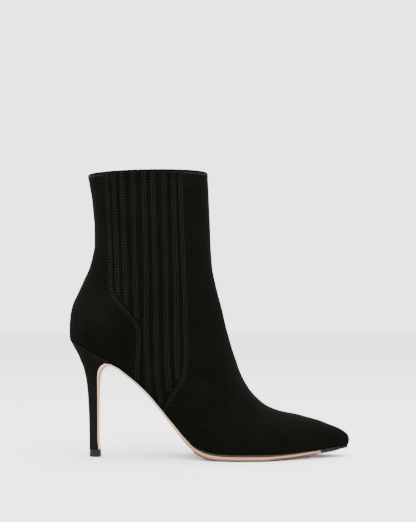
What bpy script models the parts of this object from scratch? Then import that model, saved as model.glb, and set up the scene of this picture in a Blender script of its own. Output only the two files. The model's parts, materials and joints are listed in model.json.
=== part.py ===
"""Stiletto ankle bootie, right shoe, standing empty on its sole.

Every length in the tables is in millimetres. +X points to the toe, +Y to the inner (medial) side
of the foot and +Z up; the floor is z = 0. The origin is the middle of the footprint.
"""
import math
from collections import namedtuple

import bmesh
import bpy
import numpy as np
from mathutils import Vector
from mathutils.bvhtree import BVHTree

MM = 0.001

# Driving dimensions
BACK_X = -112.1
TIP_X = 111.3
BALL_HALF_WIDTH = 36.6
SEAT_HALF_WIDTH = 24.3
WALL = 2.0
GAP = 0.3
SIDE_SHIFT = -0.4

# Feather edge: where the suede ends at the sole. Straight over the heel seat.
FEATHER = (
    # x, height
    (-112.1, 94.6), (-104.0, 90.73), (-96.0, 86.9), (-88.0, 83.08), (-80.0, 79.0),
    (-74.0, 74.1), (-67.0, 68.4), (-57.7, 60.7), (-48.0, 51.2), (-38.5, 39.9), (-29.0, 28.4),
    (-19.5, 17.7), (-10.0, 9.9), (-1.0, 6.8), (9.0, 5.7), (23.0, 5.4), (41.0, 5.4), (60.0, 5.7),
    (70.0, 6.1), (80.0, 6.7), (90.0, 7.4), (100.0, 8.2), (111.0, 8.8),
)

# Plan outline of the feather edge between the round seat and the round toe tip
OUTLINE = (
    # x, centre y, half width as a share of the ball's half width
    (-86.0, 0.0, 0.664), (-80.0, 0.0, 0.660), (-70.0, 0.0, 0.624), (-58.0, -0.3, 0.558),
    (-44.0, -0.8, 0.492), (-30.0, -1.2, 0.510), (-16.0, -1.5, 0.650), (-2.0, -1.6, 0.830),
    (12.0, -1.4, 0.948), (26.0, -0.8, 1.000), (40.0, -0.2, 0.992), (54.0, 0.8, 0.900),
    (66.0, 1.8, 0.757), (76.0, 2.7, 0.617), (86.0, 3.4, 0.476), (95.0, 3.9, 0.350),
    (102.0, 4.1, 0.243), (105.3, 4.2, 0.190),
)
SEAT_ROUND_X = -83.0
SEAT_ROUND_POWER = 2.0
TOE_ROUND_X = 105.3
OUTLINE_SAMPLES = 240

# Sections of the upper, from the collar down the shaft and out to the toe. Each section lies in a
# plane that runs from a base point at the back or on the feather edge to a front point on the
# instep line. base_z is None on the feather edge. side is the largest half width. Round the toe
# lean, in degrees, is given instead: how far round its oval a section starts on the feather edge.
# back_round and front_round are powers of the oval's two ends, fuller below 1.
Section = namedtuple(
    "Section", "base_x base_z front_x front_z side lean back_round front_round ridge_y")
SECTIONS = (
    Section(-97.7, 224.0, -1.6, 226.8, 32.0, None, 0.95, 0.95, 0.0),
    Section(-95.6, 213.0, -0.9, 215.0, 31.6, None, 0.95, 0.95, 0.0),
    Section(-93.8, 198.0, -0.2, 201.0, 31.0, None, 0.95, 0.95, 0.0),
    Section(-92.5, 183.0, 0.3, 187.5, 30.4, None, 0.95, 0.95, 0.0),
    Section(-92.3, 170.0, 0.8, 175.5, 30.1, None, 0.94, 0.95, 0.0),
    Section(-93.8, 160.7, 1.1, 166.5, 30.2, None, 0.92, 0.95, 0.0),
    Section(-96.6, 151.0, 1.6, 158.5, 30.4, None, 0.90, 0.96, 0.0),
    Section(-100.8, 141.3, 2.2, 152.0, 30.6, None, 0.88, 0.97, 0.0),
    Section(-105.2, 131.6, 3.2, 146.5, 30.7, None, 0.86, 0.98, 0.0),
    Section(-109.3, 122.0, 4.4, 141.0, 30.5, None, 0.84, 0.99, 0.1),
    Section(-111.5, 112.3, 5.6, 136.0, 30.1, None, 0.82, 1.00, 0.2),
    Section(-112.3, 102.6, 6.9, 130.5, 29.5, None, 0.81, 1.01, 0.3),
    Section(-112.1, 94.6, 8.0, 126.2, 29.0, None, 0.80, 1.02, 0.4),
    Section(-111.0, None, 8.7, 123.5, 28.8, None, 0.79, 1.03, 0.5),
    Section(-107.0, None, 9.5, 120.2, 28.6, None, 0.76, 1.04, 0.6),
    Section(-100.0, None, 10.6, 116.3, 28.5, None, 0.70, 1.05, 0.7),
    Section(-90.0, None, 11.9, 111.0, 28.4, None, 0.61, 1.06, 0.9),
    Section(-80.0, None, 13.3, 105.2, 28.5, None, 0.59, 1.07, 1.2),
    Section(-70.0, None, 14.9, 99.0, 28.6, None, 0.71, 1.08, 1.5),
    Section(-60.0, None, 16.8, 92.0, 28.8, None, 0.83, 1.09, 1.9),
    Section(-50.0, None, 18.9, 84.6, 29.2, None, 0.89, 1.10, 2.3),
    Section(-41.0, None, 21.4, 77.0, 29.9, None, 0.88, 1.10, 2.7),
    Section(-32.0, None, 24.3, 68.6, 31.0, None, 0.89, 1.10, 3.1),
    Section(-22.0, None, 28.2, 60.2, 32.6, None, 0.95, 1.08, 3.5),
    Section(-11.0, None, 33.4, 52.4, 34.4, None, 0.94, 1.06, 3.9),
    Section(1.0, None, 39.4, 46.0, 36.1, None, 0.93, 1.03, 4.2),
    Section(14.0, None, 46.4, 40.8, 37.4, None, 0.93, 1.00, 4.5),
    Section(28.0, None, 54.2, 37.3, None, 74.0, 0.95, 0.98, 4.7),
    Section(42.0, None, 62.4, 35.2, None, 74.0, 0.95, 0.97, 4.8),
    Section(55.0, None, 71.0, 33.5, None, 74.0, 0.95, 0.96, 4.8),
    Section(67.0, None, 79.8, 31.3, None, 75.0, 0.95, 0.95, 4.7),
    Section(78.0, None, 88.8, 28.6, None, 77.0, 0.95, 0.95, 4.6),
    Section(87.0, None, 97.3, 25.4, None, 80.0, 0.95, 0.95, 4.5),
    Section(94.0, None, 104.6, 22.3, None, 85.0, 0.96, 0.96, 4.4),
    Section(99.0, None, 109.1, 19.6, None, 93.0, 0.97, 0.97, 4.3),
    Section(102.3, None, 111.9, 16.4, None, 106.0, 1.00, 1.00, 4.2),
    Section(104.3, None, 112.6, 12.4, None, 126.0, 1.00, 1.00, 4.2),
    Section(105.3, None, 111.3, 8.8, None, 150.0, 1.00, 1.00, 4.2),
)
LAST_RING = 12
FIRST_LEANING = 27
UPPER_ROW_STEP = 6.4
UPPER_COLUMNS = 14
OVAL_SAMPLES = 240
TURN_SHARE = 0.5
RIM_INSET = 2.2
COLLAR_RISE = 1.7
COLLAR_RISE_ROWS = 3.0

# Covered stretch panels on both sides: a row for each level, rear and front edge on the side view
Panel = namedtuple("Panel", "rear_x rear_z front_x front_z")
PANEL = (
    Panel(-80.7, 222.6, -22.0, 224.3), Panel(-79.7, 203.0, -22.4, 205.0),
    Panel(-79.0, 184.0, -21.8, 186.0), Panel(-78.2, 165.0, -21.0, 167.0),
    Panel(-77.6, 147.0, -20.3, 149.0), Panel(-77.3, 133.6, -19.8, 134.0),
    Panel(-72.0, 125.0, -19.5, 122.0), Panel(-65.8, 116.0, -19.2, 110.0),
    Panel(-58.9, 107.5, -19.0, 99.0), Panel(-55.8, 99.0, -18.8, 88.4),
    Panel(-55.4, 90.0, -18.8, 76.0), Panel(-55.8, 80.0, -20.0, 65.8),
    Panel(-56.8, 70.0, -25.6, 55.0), Panel(-57.0, 60.0, -34.6, 36.0),
)
PANEL_COLUMNS = 8
PANEL_ROWS = 28
PANEL_LIFT = 0.55
PANEL_THICKNESS = 0.7
PANEL_FOOT = 1.0
PANEL_ROW_POWER = 0.85
RAY_START_Y = 100.0

# Black rand between suede and sole round the forefoot: its height along the shoe
RAND = ((-15.0, 0.5), (-6.0, 1.0), (8.0, 1.2), (45.0, 1.2), (70.0, 0.8), (88.0, 0.5), (111.0, 0.5))
RAND_START_X = -15.0
RAND_PROUD = 0.2
RAND_WIDTH = 2.5
RAND_STEPS = 21
LIFT_BLEND_X = -24.0

# Leather outsole from the toe insert to the breast of the heel and down to the top piece
SOLE_PROUD = 0.5
SOLE_BREAST_X = -71.0
SOLE_BOTTOM = (
    # x, height of the tread; flat on the floor under the ball
    (-12.0, 5.1), (-8.0, 2.7), (-4.0, 1.0), (0.0, 0.0), (10.0, 0.0), (20.0, 0.0), (31.0, 0.0),
    (42.0, 0.0), (54.0, 1.2), (64.0, 1.9), (74.0, 2.6), (81.0, 3.3), (88.0, 4.1),
)
WAIST_THICKNESS = 1.2
BALL_BACK_THICKNESS = 2.6
WAIST_STEPS = 14
SOLE_EDGE_BEVEL = 0.9
SOLE_EDGE_STEP = 0.45
Breast = namedtuple("Breast", "x z half thickness")
BREAST = (
    Breast(-75.6, 73.75, 21.8, 1.25), Breast(-78.6, 74.85, 20.4, 1.4),
    Breast(-81.5, 75.05, 18.4, 1.7), Breast(-84.1, 74.45, 16.2, 1.95),
    Breast(-86.3, 72.95, 13.9, 1.95), Breast(-88.0, 70.55, 11.8, 1.75),
    Breast(-89.0, 67.60, 9.8, 1.5), Breast(-89.5, 63.50, 7.8, 1.3),
    Breast(-89.6, 56.00, 5.8, 1.2), Breast(-89.6, 44.00, 4.6, 1.15),
    Breast(-89.6, 28.00, 4.2, 1.1), Breast(-89.5, 15.00, 4.2, 1.1),
    Breast(-89.1, 9.00, 4.2, 1.1), Breast(-88.7, 6.00, 4.3, 1.1),
)

# Rubber insert at the toe tip of the sole
TOE_TIP_REAR_X = 88.3
TOE_TIP_STATIONS = 13
TOE_TIP = (
    # x, height of the tread
    (88.3, 3.9), (92.0, 4.2), (97.0, 4.7), (101.0, 5.4), (106.0, 6.5), (111.3, 7.1),
)

# Suede covered heel: a row for each section, from the top piece to the seat
Heel = namedtuple("Heel", "front_x front_z back_x back_z half round")
HEEL = (
    Heel(-89.0, 5.9, -96.4, 5.9, 4.7, 0.80), Heel(-89.4, 9.0, -96.4, 9.0, 4.6, 0.80),
    Heel(-89.8, 15.0, -96.5, 15.5, 4.5, 0.80), Heel(-89.9, 28.0, -96.8, 30.0, 4.5, 0.80),
    Heel(-89.9, 44.0, -97.4, 45.0, 4.9, 0.80), Heel(-89.9, 56.0, -98.5, 57.5, 6.1, 0.80),
    Heel(-89.8, 63.5, -99.8, 65.8, 8.2, 0.82), Heel(-89.3, 67.75, -101.7, 72.9, 10.2, 0.84),
    Heel(-88.25, 70.8, -103.6, 77.4, 12.2, 0.86), Heel(-86.5, 73.25, -105.8, 82.6, 14.4, 0.88),
    Heel(-84.25, 74.78, -107.9, 86.4, 16.7, 0.89), Heel(-81.55, 75.4, -109.4, 89.2, 18.9, 0.90),
    Heel(-78.5, 75.2, -110.8, 91.8, 21.0, 0.905), Heel(-76.3, 74.5, -111.6, 93.2, 22.2, 0.91),
)
HEEL_COLUMNS = 16
SEAT_ROUND = 0.9
SEAT_BACK_INSET = 0.1

# Heel top piece
TOP_PIECE_HEIGHT = 5.6
TOP_PIECE_FRONT_X = -87.3
TOP_PIECE_BACK_X = -96.3
TOP_PIECE_HALF_WIDTH = 5.0
TOP_PIECE_CHAMFER = 0.3
TOP_PIECE_ROUND = 0.75

# Insole
INSOLE_THICKNESS = 2.0
INSOLE_REAR_INSET = 3.9
INSOLE_FORE_INSET = 3.0
INSOLE_STATIONS = 34
INSOLE_REAR_GAP = 0.3
INSOLE_FRONT_GAP = 0.4

# Base colours, roughness and metallic value
FINISHES = {
    "black_suede": ((0.012, 0.012, 0.010, 1.0), 0.92, 0.0),
    "black_suede_panel": ((0.013, 0.013, 0.011, 1.0), 0.92, 0.0),
    "heel_suede": ((0.012, 0.012, 0.010, 1.0), 0.92, 0.0),
    "black_edge_lacquer": ((0.010, 0.010, 0.010, 1.0), 0.30, 0.0),
    "nude_leather": ((0.72, 0.52, 0.40, 1.0), 0.45, 0.0),
    "tan_leather_lining": ((0.50, 0.33, 0.22, 1.0), 0.60, 0.0),
    "black_toe_rubber": ((0.026, 0.030, 0.028, 1.0), 0.55, 0.0),
    "dark_heel_rubber": ((0.045, 0.047, 0.048, 1.0), 0.60, 0.0),
}


def smooth(table, column, x):
    """Height of the smooth curve through one column of a table, without overshoot."""
    xs = np.array([row[0] for row in table], float)
    ys = np.array([row[column] for row in table], float)
    step = np.diff(xs)
    slope = np.diff(ys) / step
    tangent = np.concatenate(([slope[0]], np.zeros(len(xs) - 2), [slope[-1]]))
    for i in range(1, len(xs) - 1):
        if slope[i - 1] * slope[i] > 0.0:
            before = 2.0 * step[i] + step[i - 1]
            after = step[i] + 2.0 * step[i - 1]
            tangent[i] = (before + after) / (before / slope[i - 1] + after / slope[i])
    x = np.clip(np.asarray(x, float), xs[0], xs[-1])
    i = np.clip(np.searchsorted(xs, x, side="right") - 1, 0, len(step) - 1)
    t = (x - xs[i]) / step[i]
    rise = t * t * (3.0 - 2.0 * t)
    return ((1.0 - rise) * ys[i] + rise * ys[i + 1]
            + step[i] * (t * (1.0 - t) ** 2 * tangent[i] - t * t * (1.0 - t) * tangent[i + 1]))


def feather(x):
    return smooth(FEATHER, 1, x)


def steepness(x):
    """Length along the feather edge for each unit of x."""
    delta = 0.5
    slope = (feather(x + delta) - feather(x - delta)) / (2.0 * delta)
    return np.sqrt(1.0 + slope ** 2)


def rand_height(x):
    return smooth(RAND, 1, x)


def sole_top(x):
    """Upper face of the outsole: below the feather edge by one gap, or by the rand and two."""
    waist = GAP * steepness(x)
    forefoot = rand_height(x) + 2.0 * GAP * steepness(x)
    blend = np.clip((np.asarray(x, float) - LIFT_BLEND_X) / (RAND_START_X - LIFT_BLEND_X), 0.0, 1.0)
    return feather(x) - (waist + (np.maximum(forefoot, waist) - waist) * blend)


def centre_line(x):
    return smooth(OUTLINE, 1, x) + SIDE_SHIFT


def half_width(x):
    """Half width of the feather edge in plan: round seat, table, round toe tip."""
    x = np.clip(np.asarray(x, float), BACK_X, TIP_X)
    seat_share = np.clip((SEAT_ROUND_X - x) / (SEAT_ROUND_X - BACK_X), 0.0, 1.0)
    seat = SEAT_HALF_WIDTH * np.sqrt(np.maximum(1.0 - seat_share ** SEAT_ROUND_POWER, 0.0))
    tip_half = OUTLINE[-1][2] * BALL_HALF_WIDTH
    tip = tip_half * np.sqrt(np.maximum(TIP_X - x, 0.0) / (TIP_X - TOE_ROUND_X))
    middle = smooth(OUTLINE, 2, x) * BALL_HALF_WIDTH
    return np.where(x < SEAT_ROUND_X, seat, np.where(x > TOE_ROUND_X, tip, middle))


def outline_side(side, start_x, end_x, count):
    """Points of one side of the feather outline, closely spaced at the round ends."""
    turn = np.linspace(0.0, math.pi, count)
    x = start_x + (end_x - start_x) * 0.5 * (1.0 - np.cos(turn))
    return np.column_stack((x, centre_line(x) + side * half_width(x)))


def inset_outline(points, inset, side):
    """Moves the points of one side inwards, square to the outline."""
    tangent = np.gradient(points, axis=0)
    tangent /= np.linalg.norm(tangent, axis=1)[:, None]
    inward = np.column_stack((tangent[:, 1], -tangent[:, 0])) * side
    return points + inset * inward


def inset_span(x, inset, start_x=BACK_X, end_x=TIP_X):
    """Lateral and medial y of the outline, moved inwards, at each x."""
    span = []
    for side in (-1.0, 1.0):
        line = inset_outline(outline_side(side, start_x, end_x, OUTLINE_SAMPLES), inset, side)
        order = np.argsort(line[:, 0])
        span.append(np.interp(x, line[order, 0], line[order, 1]))
    return np.array(span)


def section_column(name, place):
    """One column of the section list at a place along it, over the rows that state it."""
    table = [(i, getattr(row, name)) for i, row in enumerate(SECTIONS)
             if getattr(row, name) is not None]
    return float(smooth(table, 1, place))


def section_at(place):
    """Section at a place along the list, with every column worked out.

    A ring is closed at the back. Past the last ring a section starts on the feather edge, and
    its lean follows from the width there, or its side from its lean.
    """
    base_x = section_column("base_x", place)
    back_round = section_column("back_round", place)
    if place <= LAST_RING:
        base_z = section_column("base_z", place)
        base_y = SIDE_SHIFT
        base_half = 0.0
    else:
        base_z = float(feather(base_x))
        base_y = float(centre_line(base_x))
        base_half = float(half_width(base_x))
    if place < FIRST_LEANING:
        side = section_column("side", place)
        ahead = place - (FIRST_LEANING - 1)
        if ahead > 0.0:
            side += ahead * (section_at(FIRST_LEANING)["side"] - side)
        lean = math.asin((base_half / side) ** (1.0 / back_round))
    else:
        lean = math.radians(section_column("lean", place))
        side = base_half / math.sin(lean) ** back_round
    return {
        "base": np.array([base_x, base_z]),
        "front": np.array([section_column("front_x", place), section_column("front_z", place)]),
        "side": side,
        "lean": lean,
        "back_round": back_round,
        "front_round": section_column("front_round", place),
        "base_y": base_y,
        "ridge_y": section_column("ridge_y", place) + SIDE_SHIFT,
        "rise": COLLAR_RISE * max(0.0, 1.0 - place / COLLAR_RISE_ROWS) ** 2,
    }


def half_section(section, count):
    """Share of the way from base to front and half width, at count + 1 places of the section.

    The places are spread by length and by turning together, so tight bends get more of them.
    """
    angle = np.linspace(section["lean"], math.pi, OVAL_SAMPLES + 1)
    start_cos = math.cos(section["lean"])
    share = (start_cos - np.cos(angle)) / (1.0 + start_cos)
    power = np.where(angle < math.pi / 2.0, section["back_round"], section["front_round"])
    half = section["side"] * np.clip(np.sin(angle), 0.0, 1.0) ** power
    half[-1] = 0.0
    length = np.linalg.norm(section["front"] - section["base"])
    steps = np.column_stack((np.diff(share) * length, np.diff(half)))
    lengths = np.linalg.norm(steps, axis=1)
    heading = np.unwrap(np.arctan2(steps[:, 1], steps[:, 0]))
    turning = np.concatenate(([0.0], np.abs(np.diff(heading))))
    cost = (1.0 - TURN_SHARE) * lengths / lengths.sum() + TURN_SHARE * turning / turning.sum()
    reached = np.concatenate(([0.0], np.cumsum(cost)))
    places = np.interp(np.linspace(0.0, reached[-1], count + 1), reached, angle)
    return np.interp(places, angle, share), np.interp(places, angle, half)


def section_points(section, columns):
    """Points of a section from the lateral base over the front to the medial base."""
    share, half = half_section(section, columns)
    plane = section["base"] + share[:, None] * (section["front"] - section["base"])
    plane[:, 1] += section["rise"] * np.sqrt(np.clip(4.0 * share * (1.0 - share), 0.0, 1.0))
    middle = section["base_y"] + share * (section["ridge_y"] - section["base_y"])
    lateral = np.column_stack((plane[:, 0], middle - half, plane[:, 1]))
    medial = np.column_stack((plane[:, 0], middle + half, plane[:, 1]))
    return np.vstack((lateral, medial[-2::-1]))


def section_places():
    """Places along the section list, about one row step apart, with the last ring among them."""
    places = [0.0]
    for i in range(len(SECTIONS) - 1):
        here = section_at(i)
        there = section_at(i + 1)
        reach = max(np.linalg.norm(there["base"] - here["base"]),
                    np.linalg.norm(there["front"] - here["front"]))
        count = max(1, round(reach / UPPER_ROW_STEP))
        places += [i + (k + 1.0) / count for k in range(count)]
    return places


def finish_material(name):
    colour, roughness, metallic = FINISHES[name]
    material = bpy.data.materials.get(name)
    if material is None:
        material = bpy.data.materials.new(name)
        material.use_nodes = True
        shader = material.node_tree.nodes["Principled BSDF"]
        shader.inputs["Base Color"].default_value = colour
        shader.inputs["Roughness"].default_value = roughness
        shader.inputs["Metallic"].default_value = metallic
        material.diffuse_color = colour
    return material


def add_solid(name, points, faces, finish, parent):
    """One closed mesh object, its origin in the middle of its box, from points in millimetres."""
    points = np.asarray(points, float) * MM
    middle = 0.5 * (points.min(axis=0) + points.max(axis=0))
    shape = bmesh.new()
    corners = [shape.verts.new(point - middle) for point in points]
    for face in faces:
        shape.faces.new([corners[i] for i in face])
    bmesh.ops.recalc_face_normals(shape, faces=shape.faces)
    mesh = bpy.data.meshes.new(name)
    shape.to_mesh(mesh)
    shape.free()
    mesh.materials.append(finish_material(finish))
    item = bpy.data.objects.new(name, mesh)
    item.location = Vector(middle)
    item.parent = parent
    bpy.context.scene.collection.objects.link(item)
    return item


def loft(sections):
    """Faces of a solid through closed sections whose points mirror each other across the middle."""
    count = len(sections[0])
    points = np.vstack(sections)
    faces = []
    for row in range(len(sections) - 1):
        for i in range(count):
            j = (i + 1) % count
            faces.append((row * count + i, row * count + j,
                          (row + 1) * count + j, (row + 1) * count + i))
    for first in (0, (len(sections) - 1) * count):
        for i in range((count - 1) // 2):
            cap = (first + i, first + i + 1, first + count - 2 - i, first + count - 1 - i)
            faces.append(tuple(dict.fromkeys(cap)))
    return points, faces


def sheet_solid(outer, inner):
    """Faces of a solid between two grids of the same size."""
    rows, columns = outer.shape[:2]
    points = np.vstack((outer.reshape(-1, 3), inner.reshape(-1, 3)))
    back = rows * columns
    faces = []
    for r in range(rows - 1):
        for c in range(columns - 1):
            quad = (r * columns + c, r * columns + c + 1,
                    (r + 1) * columns + c + 1, (r + 1) * columns + c)
            faces.append(quad)
            faces.append(tuple(i + back for i in reversed(quad)))
    edge = list(range(columns))
    edge += [r * columns + columns - 1 for r in range(1, rows)]
    edge += [(rows - 1) * columns + c for c in range(columns - 2, -1, -1)]
    edge += [r * columns for r in range(rows - 2, 0, -1)]
    for i, here in enumerate(edge):
        there = edge[(i + 1) % len(edge)]
        faces.append((here, there, there + back, here + back))
    return points, faces


def upper_skin():
    """Points and faces of the upper's outer face, and its two open edges as rows of indices."""
    places = section_places()
    ring_rows = sum(1 for place in places if place <= LAST_RING)
    width = 2 * UPPER_COLUMNS
    points = []
    ids = []
    for row, place in enumerate(places):
        line = section_points(section_at(place), UPPER_COLUMNS)
        first = len(points)
        if row < ring_rows:
            points += list(line[:-1])
            ids.append([first + c for c in range(width)] + [first])
        else:
            points += list(line)
            ids.append([first + c for c in range(width + 1)])
    faces = []
    for row in range(len(places) - 1):
        for c in range(width):
            faces.append((ids[row][c], ids[row][c + 1], ids[row + 1][c + 1], ids[row + 1][c]))
    collar = ids[0][:-1]
    feather_edge = [ids[ring_rows - 1][0]]
    feather_edge += [ids[row][0] for row in range(ring_rows, len(places))]
    feather_edge += ids[-1][1:]
    feather_edge += [ids[row][-1] for row in range(len(places) - 2, ring_rows - 1, -1)]
    return np.array(points), faces, collar, feather_edge


def skin_normals(points, faces):
    """Outward normals of the upper's outer face."""
    shape = bmesh.new()
    corners = [shape.verts.new(point) for point in points]
    for face in faces:
        shape.faces.new([corners[i] for i in face])
    bmesh.ops.recalc_face_normals(shape, faces=shape.faces)
    shape.normal_update()
    normals = np.array([corner.normal[:] for corner in corners])
    front = int(np.argmax(points[:, 0]))
    if normals[front, 0] < 0.0:
        normals = -normals
    shape.free()
    return normals


def build_upper(parent):
    """Hollow upper, open at the collar and underneath."""
    points, faces, collar, feather_edge = upper_skin()
    inner = points - WALL * skin_normals(points, faces)
    edge = points[feather_edge][:, :2]
    tangent = np.roll(edge, -1, axis=0) - np.roll(edge, 1, axis=0)
    tangent /= np.linalg.norm(tangent, axis=1)[:, None]
    inward = np.column_stack((-tangent[:, 1], tangent[:, 0]))
    rim = edge + RIM_INSET * inward
    inner[feather_edge] = np.column_stack((rim, feather(rim[:, 0])))
    count = len(points)
    solid = list(faces) + [tuple(i + count for i in reversed(face)) for face in faces]
    for loop in (collar, feather_edge):
        for i, here in enumerate(loop):
            there = loop[(i + 1) % len(loop)]
            solid.append((here, there, there + count, here + count))
    add_solid("upper", np.vstack((points, inner)), solid, "black_suede", parent)
    return BVHTree.FromPolygons([Vector(p) for p in points], faces)


def build_panel(name, side, skin, parent):
    """Covered stretch panel that lies on one side of the upper."""
    table = [(i,) + tuple(level) for i, level in enumerate(PANEL)]
    rows = []
    for place in np.linspace(0.0, 1.0, PANEL_ROWS + 1) ** PANEL_ROW_POWER * (len(PANEL) - 1):
        rear_x, rear_z, front_x, front_z = (float(smooth(table, i, place)) for i in (1, 2, 3, 4))
        share = np.linspace(0.0, 1.0, PANEL_COLUMNS + 1)
        x = rear_x + share * (front_x - rear_x)
        z = rear_z + share * (front_z - rear_z)
        z = np.maximum(z, feather(x) + PANEL_FOOT * steepness(x))
        line = []
        for across, height in zip(x, z):
            hit = skin.ray_cast(Vector((across, side * RAY_START_Y, height)), Vector((0.0, -side, 0.0)))
            line.append(hit[0][:])
        rows.append(line)
    grid = np.array(rows)
    normal = np.cross(np.gradient(grid, axis=1), np.gradient(grid, axis=0))
    normal /= np.linalg.norm(normal, axis=2)[:, :, None]
    normal *= np.sign(normal[:, :, 1:2]) * side
    inner = grid + PANEL_LIFT * normal
    outer = grid + (PANEL_LIFT + PANEL_THICKNESS) * normal
    points, faces = sheet_solid(outer, inner)
    add_solid(name, points, faces, "black_suede_panel", parent)


def build_rand(parent):
    """Thin lacquered strip round the forefoot, between the suede and the sole."""
    count = 2 * RAND_STEPS
    turn = np.linspace(-math.pi / 2.0, 0.0, count)
    x = RAND_START_X + (TIP_X - RAND_START_X) * np.cos(turn)
    lateral = np.column_stack((x, centre_line(x) - half_width(x)))
    medial = np.column_stack((x, centre_line(x) + half_width(x)))[-2::-1]
    line = np.vstack((lateral, medial))
    tangent = np.gradient(line, axis=0)
    tangent /= np.linalg.norm(tangent, axis=1)[:, None]
    inward = np.column_stack((-tangent[:, 1], tangent[:, 0]))
    sections = []
    for here, into in zip(line, inward):
        outer = here - RAND_PROUD * into
        inner = here + (RAND_WIDTH - RAND_PROUD) * into
        section = []
        for x, y in (outer, inner):
            low = float(sole_top(x) + GAP * steepness(x))
            section += [(x, y, low), (x, y, low + float(rand_height(x)))]
        sections.append(np.array([section[0], section[1], section[3], section[2]]))
    points, faces = loft(sections)
    add_solid("rand", points, faces, "black_edge_lacquer", parent)


def sole_section(top, down, low_y, high_y, thickness):
    """Section of the outsole: square upper step and bevelled lower step on each side."""
    bevel = min(SOLE_EDGE_BEVEL, 0.25 * (high_y - low_y))
    edge = top + down * thickness * SOLE_EDGE_STEP
    bottom = top + down * thickness
    rows = ((low_y, top), (low_y, edge), (low_y + bevel, bottom),
            (high_y - bevel, bottom), (high_y, edge), (high_y, top))
    return np.array([(point[0], y, point[1]) for y, point in rows])


def build_outsole(parent):
    """Leather sole: forefoot, waist and the flap down the breast of the heel."""
    sections = []
    forefoot_end = SOLE_BOTTOM[0][0]
    between = [0.5 * (row[0] + after[0]) for row, after in zip(SOLE_BOTTOM, SOLE_BOTTOM[1:])]
    for x in sorted([row[0] for row in SOLE_BOTTOM] + between, reverse=True):
        top = np.array([x, float(sole_top(x))])
        low = float(smooth(SOLE_BOTTOM, 1, x))
        half = float(half_width(x)) + SOLE_PROUD
        middle = float(centre_line(x))
        sections.append(sole_section(top, np.array([0.0, -1.0]), middle - half, middle + half,
                                     top[1] - low))
    waist = np.linspace(forefoot_end, SOLE_BREAST_X, WAIST_STEPS + 1)[1:]
    path = [(x, float(sole_top(x)), float(half_width(x)) + SOLE_PROUD, WAIST_THICKNESS)
            for x in waist]
    path += [tuple(row) for row in BREAST]
    path = np.array(path)
    first = np.array([[forefoot_end, float(sole_top(forefoot_end))]])
    tangent = np.gradient(np.vstack((first, path[:, :2])), axis=0)[1:]
    tangent /= np.linalg.norm(tangent, axis=1)[:, None]
    down = np.column_stack((-tangent[:, 1], tangent[:, 0]))
    for row, away in zip(path, down):
        middle = float(centre_line(row[0]))
        thick = row[3]
        ahead = (row[0] - SOLE_BREAST_X) / (forefoot_end - SOLE_BREAST_X)
        if ahead > 0.0:
            thick += (BALL_BACK_THICKNESS - WAIST_THICKNESS) * ahead ** 3
        sections.append(sole_section(row[:2], away, middle - row[2], middle + row[2], thick))
    points, faces = loft(sections)
    add_solid("outsole", points, faces, "nude_leather", parent)


def build_toe_tip(parent):
    """Rubber insert that carries on the sole under the point of the toe."""
    turn = np.linspace(-math.pi / 2.0, 0.0, TOE_TIP_STATIONS)[:-1]
    x = TOE_TIP_REAR_X + (TIP_X - TOE_TIP_REAR_X) * np.cos(turn)
    sections = []
    for place in x:
        top = np.array([place, float(sole_top(place))])
        low = float(smooth(TOE_TIP, 1, place))
        half = float(half_width(place)) + SOLE_PROUD
        middle = float(centre_line(place))
        sections.append(sole_section(top, np.array([0.0, -1.0]), middle - half, middle + half,
                                     top[1] - low))
    points, faces = loft(sections)
    add_solid("toe_tip", points, faces, "black_toe_rubber", parent)


def heel_section(front, back, half, power):
    """D-shaped section: flat breast in front, round behind."""
    turn = np.linspace(0.0, math.pi, HEEL_COLUMNS + 1)
    reach = np.clip(np.sin(turn), 0.0, 1.0) ** power
    plane = np.array(front) + reach[:, None] * (np.array(back) - np.array(front))
    y = SIDE_SHIFT - half * np.cos(turn)
    return np.column_stack((plane[:, 0], y, plane[:, 1]))


def build_heel(parent):
    """Suede covered stiletto heel up to the seat of the upper."""
    sections = [heel_section((row.front_x, row.front_z), (row.back_x, row.back_z), row.half,
                             row.round) for row in HEEL]
    seat_front = HEEL[-1].front_x
    turn = np.linspace(0.0, math.pi, HEEL_COLUMNS + 1)
    seat_back = BACK_X + SEAT_BACK_INSET
    x = seat_front + (seat_back - seat_front) * np.clip(np.sin(turn), 0.0, 1.0) ** SEAT_ROUND
    y = SIDE_SHIFT - np.sign(np.cos(turn)) * half_width(x)
    z = feather(x) - GAP * steepness(x)
    y[HEEL_COLUMNS // 2] = SIDE_SHIFT
    sections.append(np.column_stack((x, y, z)))
    points, faces = loft(sections)
    add_solid("heel", points, faces, "heel_suede", parent)


def build_top_piece(parent):
    """Rubber top piece under the heel, flat on the floor."""
    sections = []
    for height, inset in ((0.0, TOP_PIECE_CHAMFER), (TOP_PIECE_CHAMFER, 0.0),
                          (TOP_PIECE_HEIGHT, 0.0)):
        front = (TOP_PIECE_FRONT_X - inset, height)
        back = (TOP_PIECE_BACK_X + inset, height)
        sections.append(heel_section(front, back, TOP_PIECE_HALF_WIDTH - inset,
                                     TOP_PIECE_ROUND))
    points, faces = loft(sections)
    add_solid("top_piece", points, faces, "dark_heel_rubber", parent)


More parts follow.
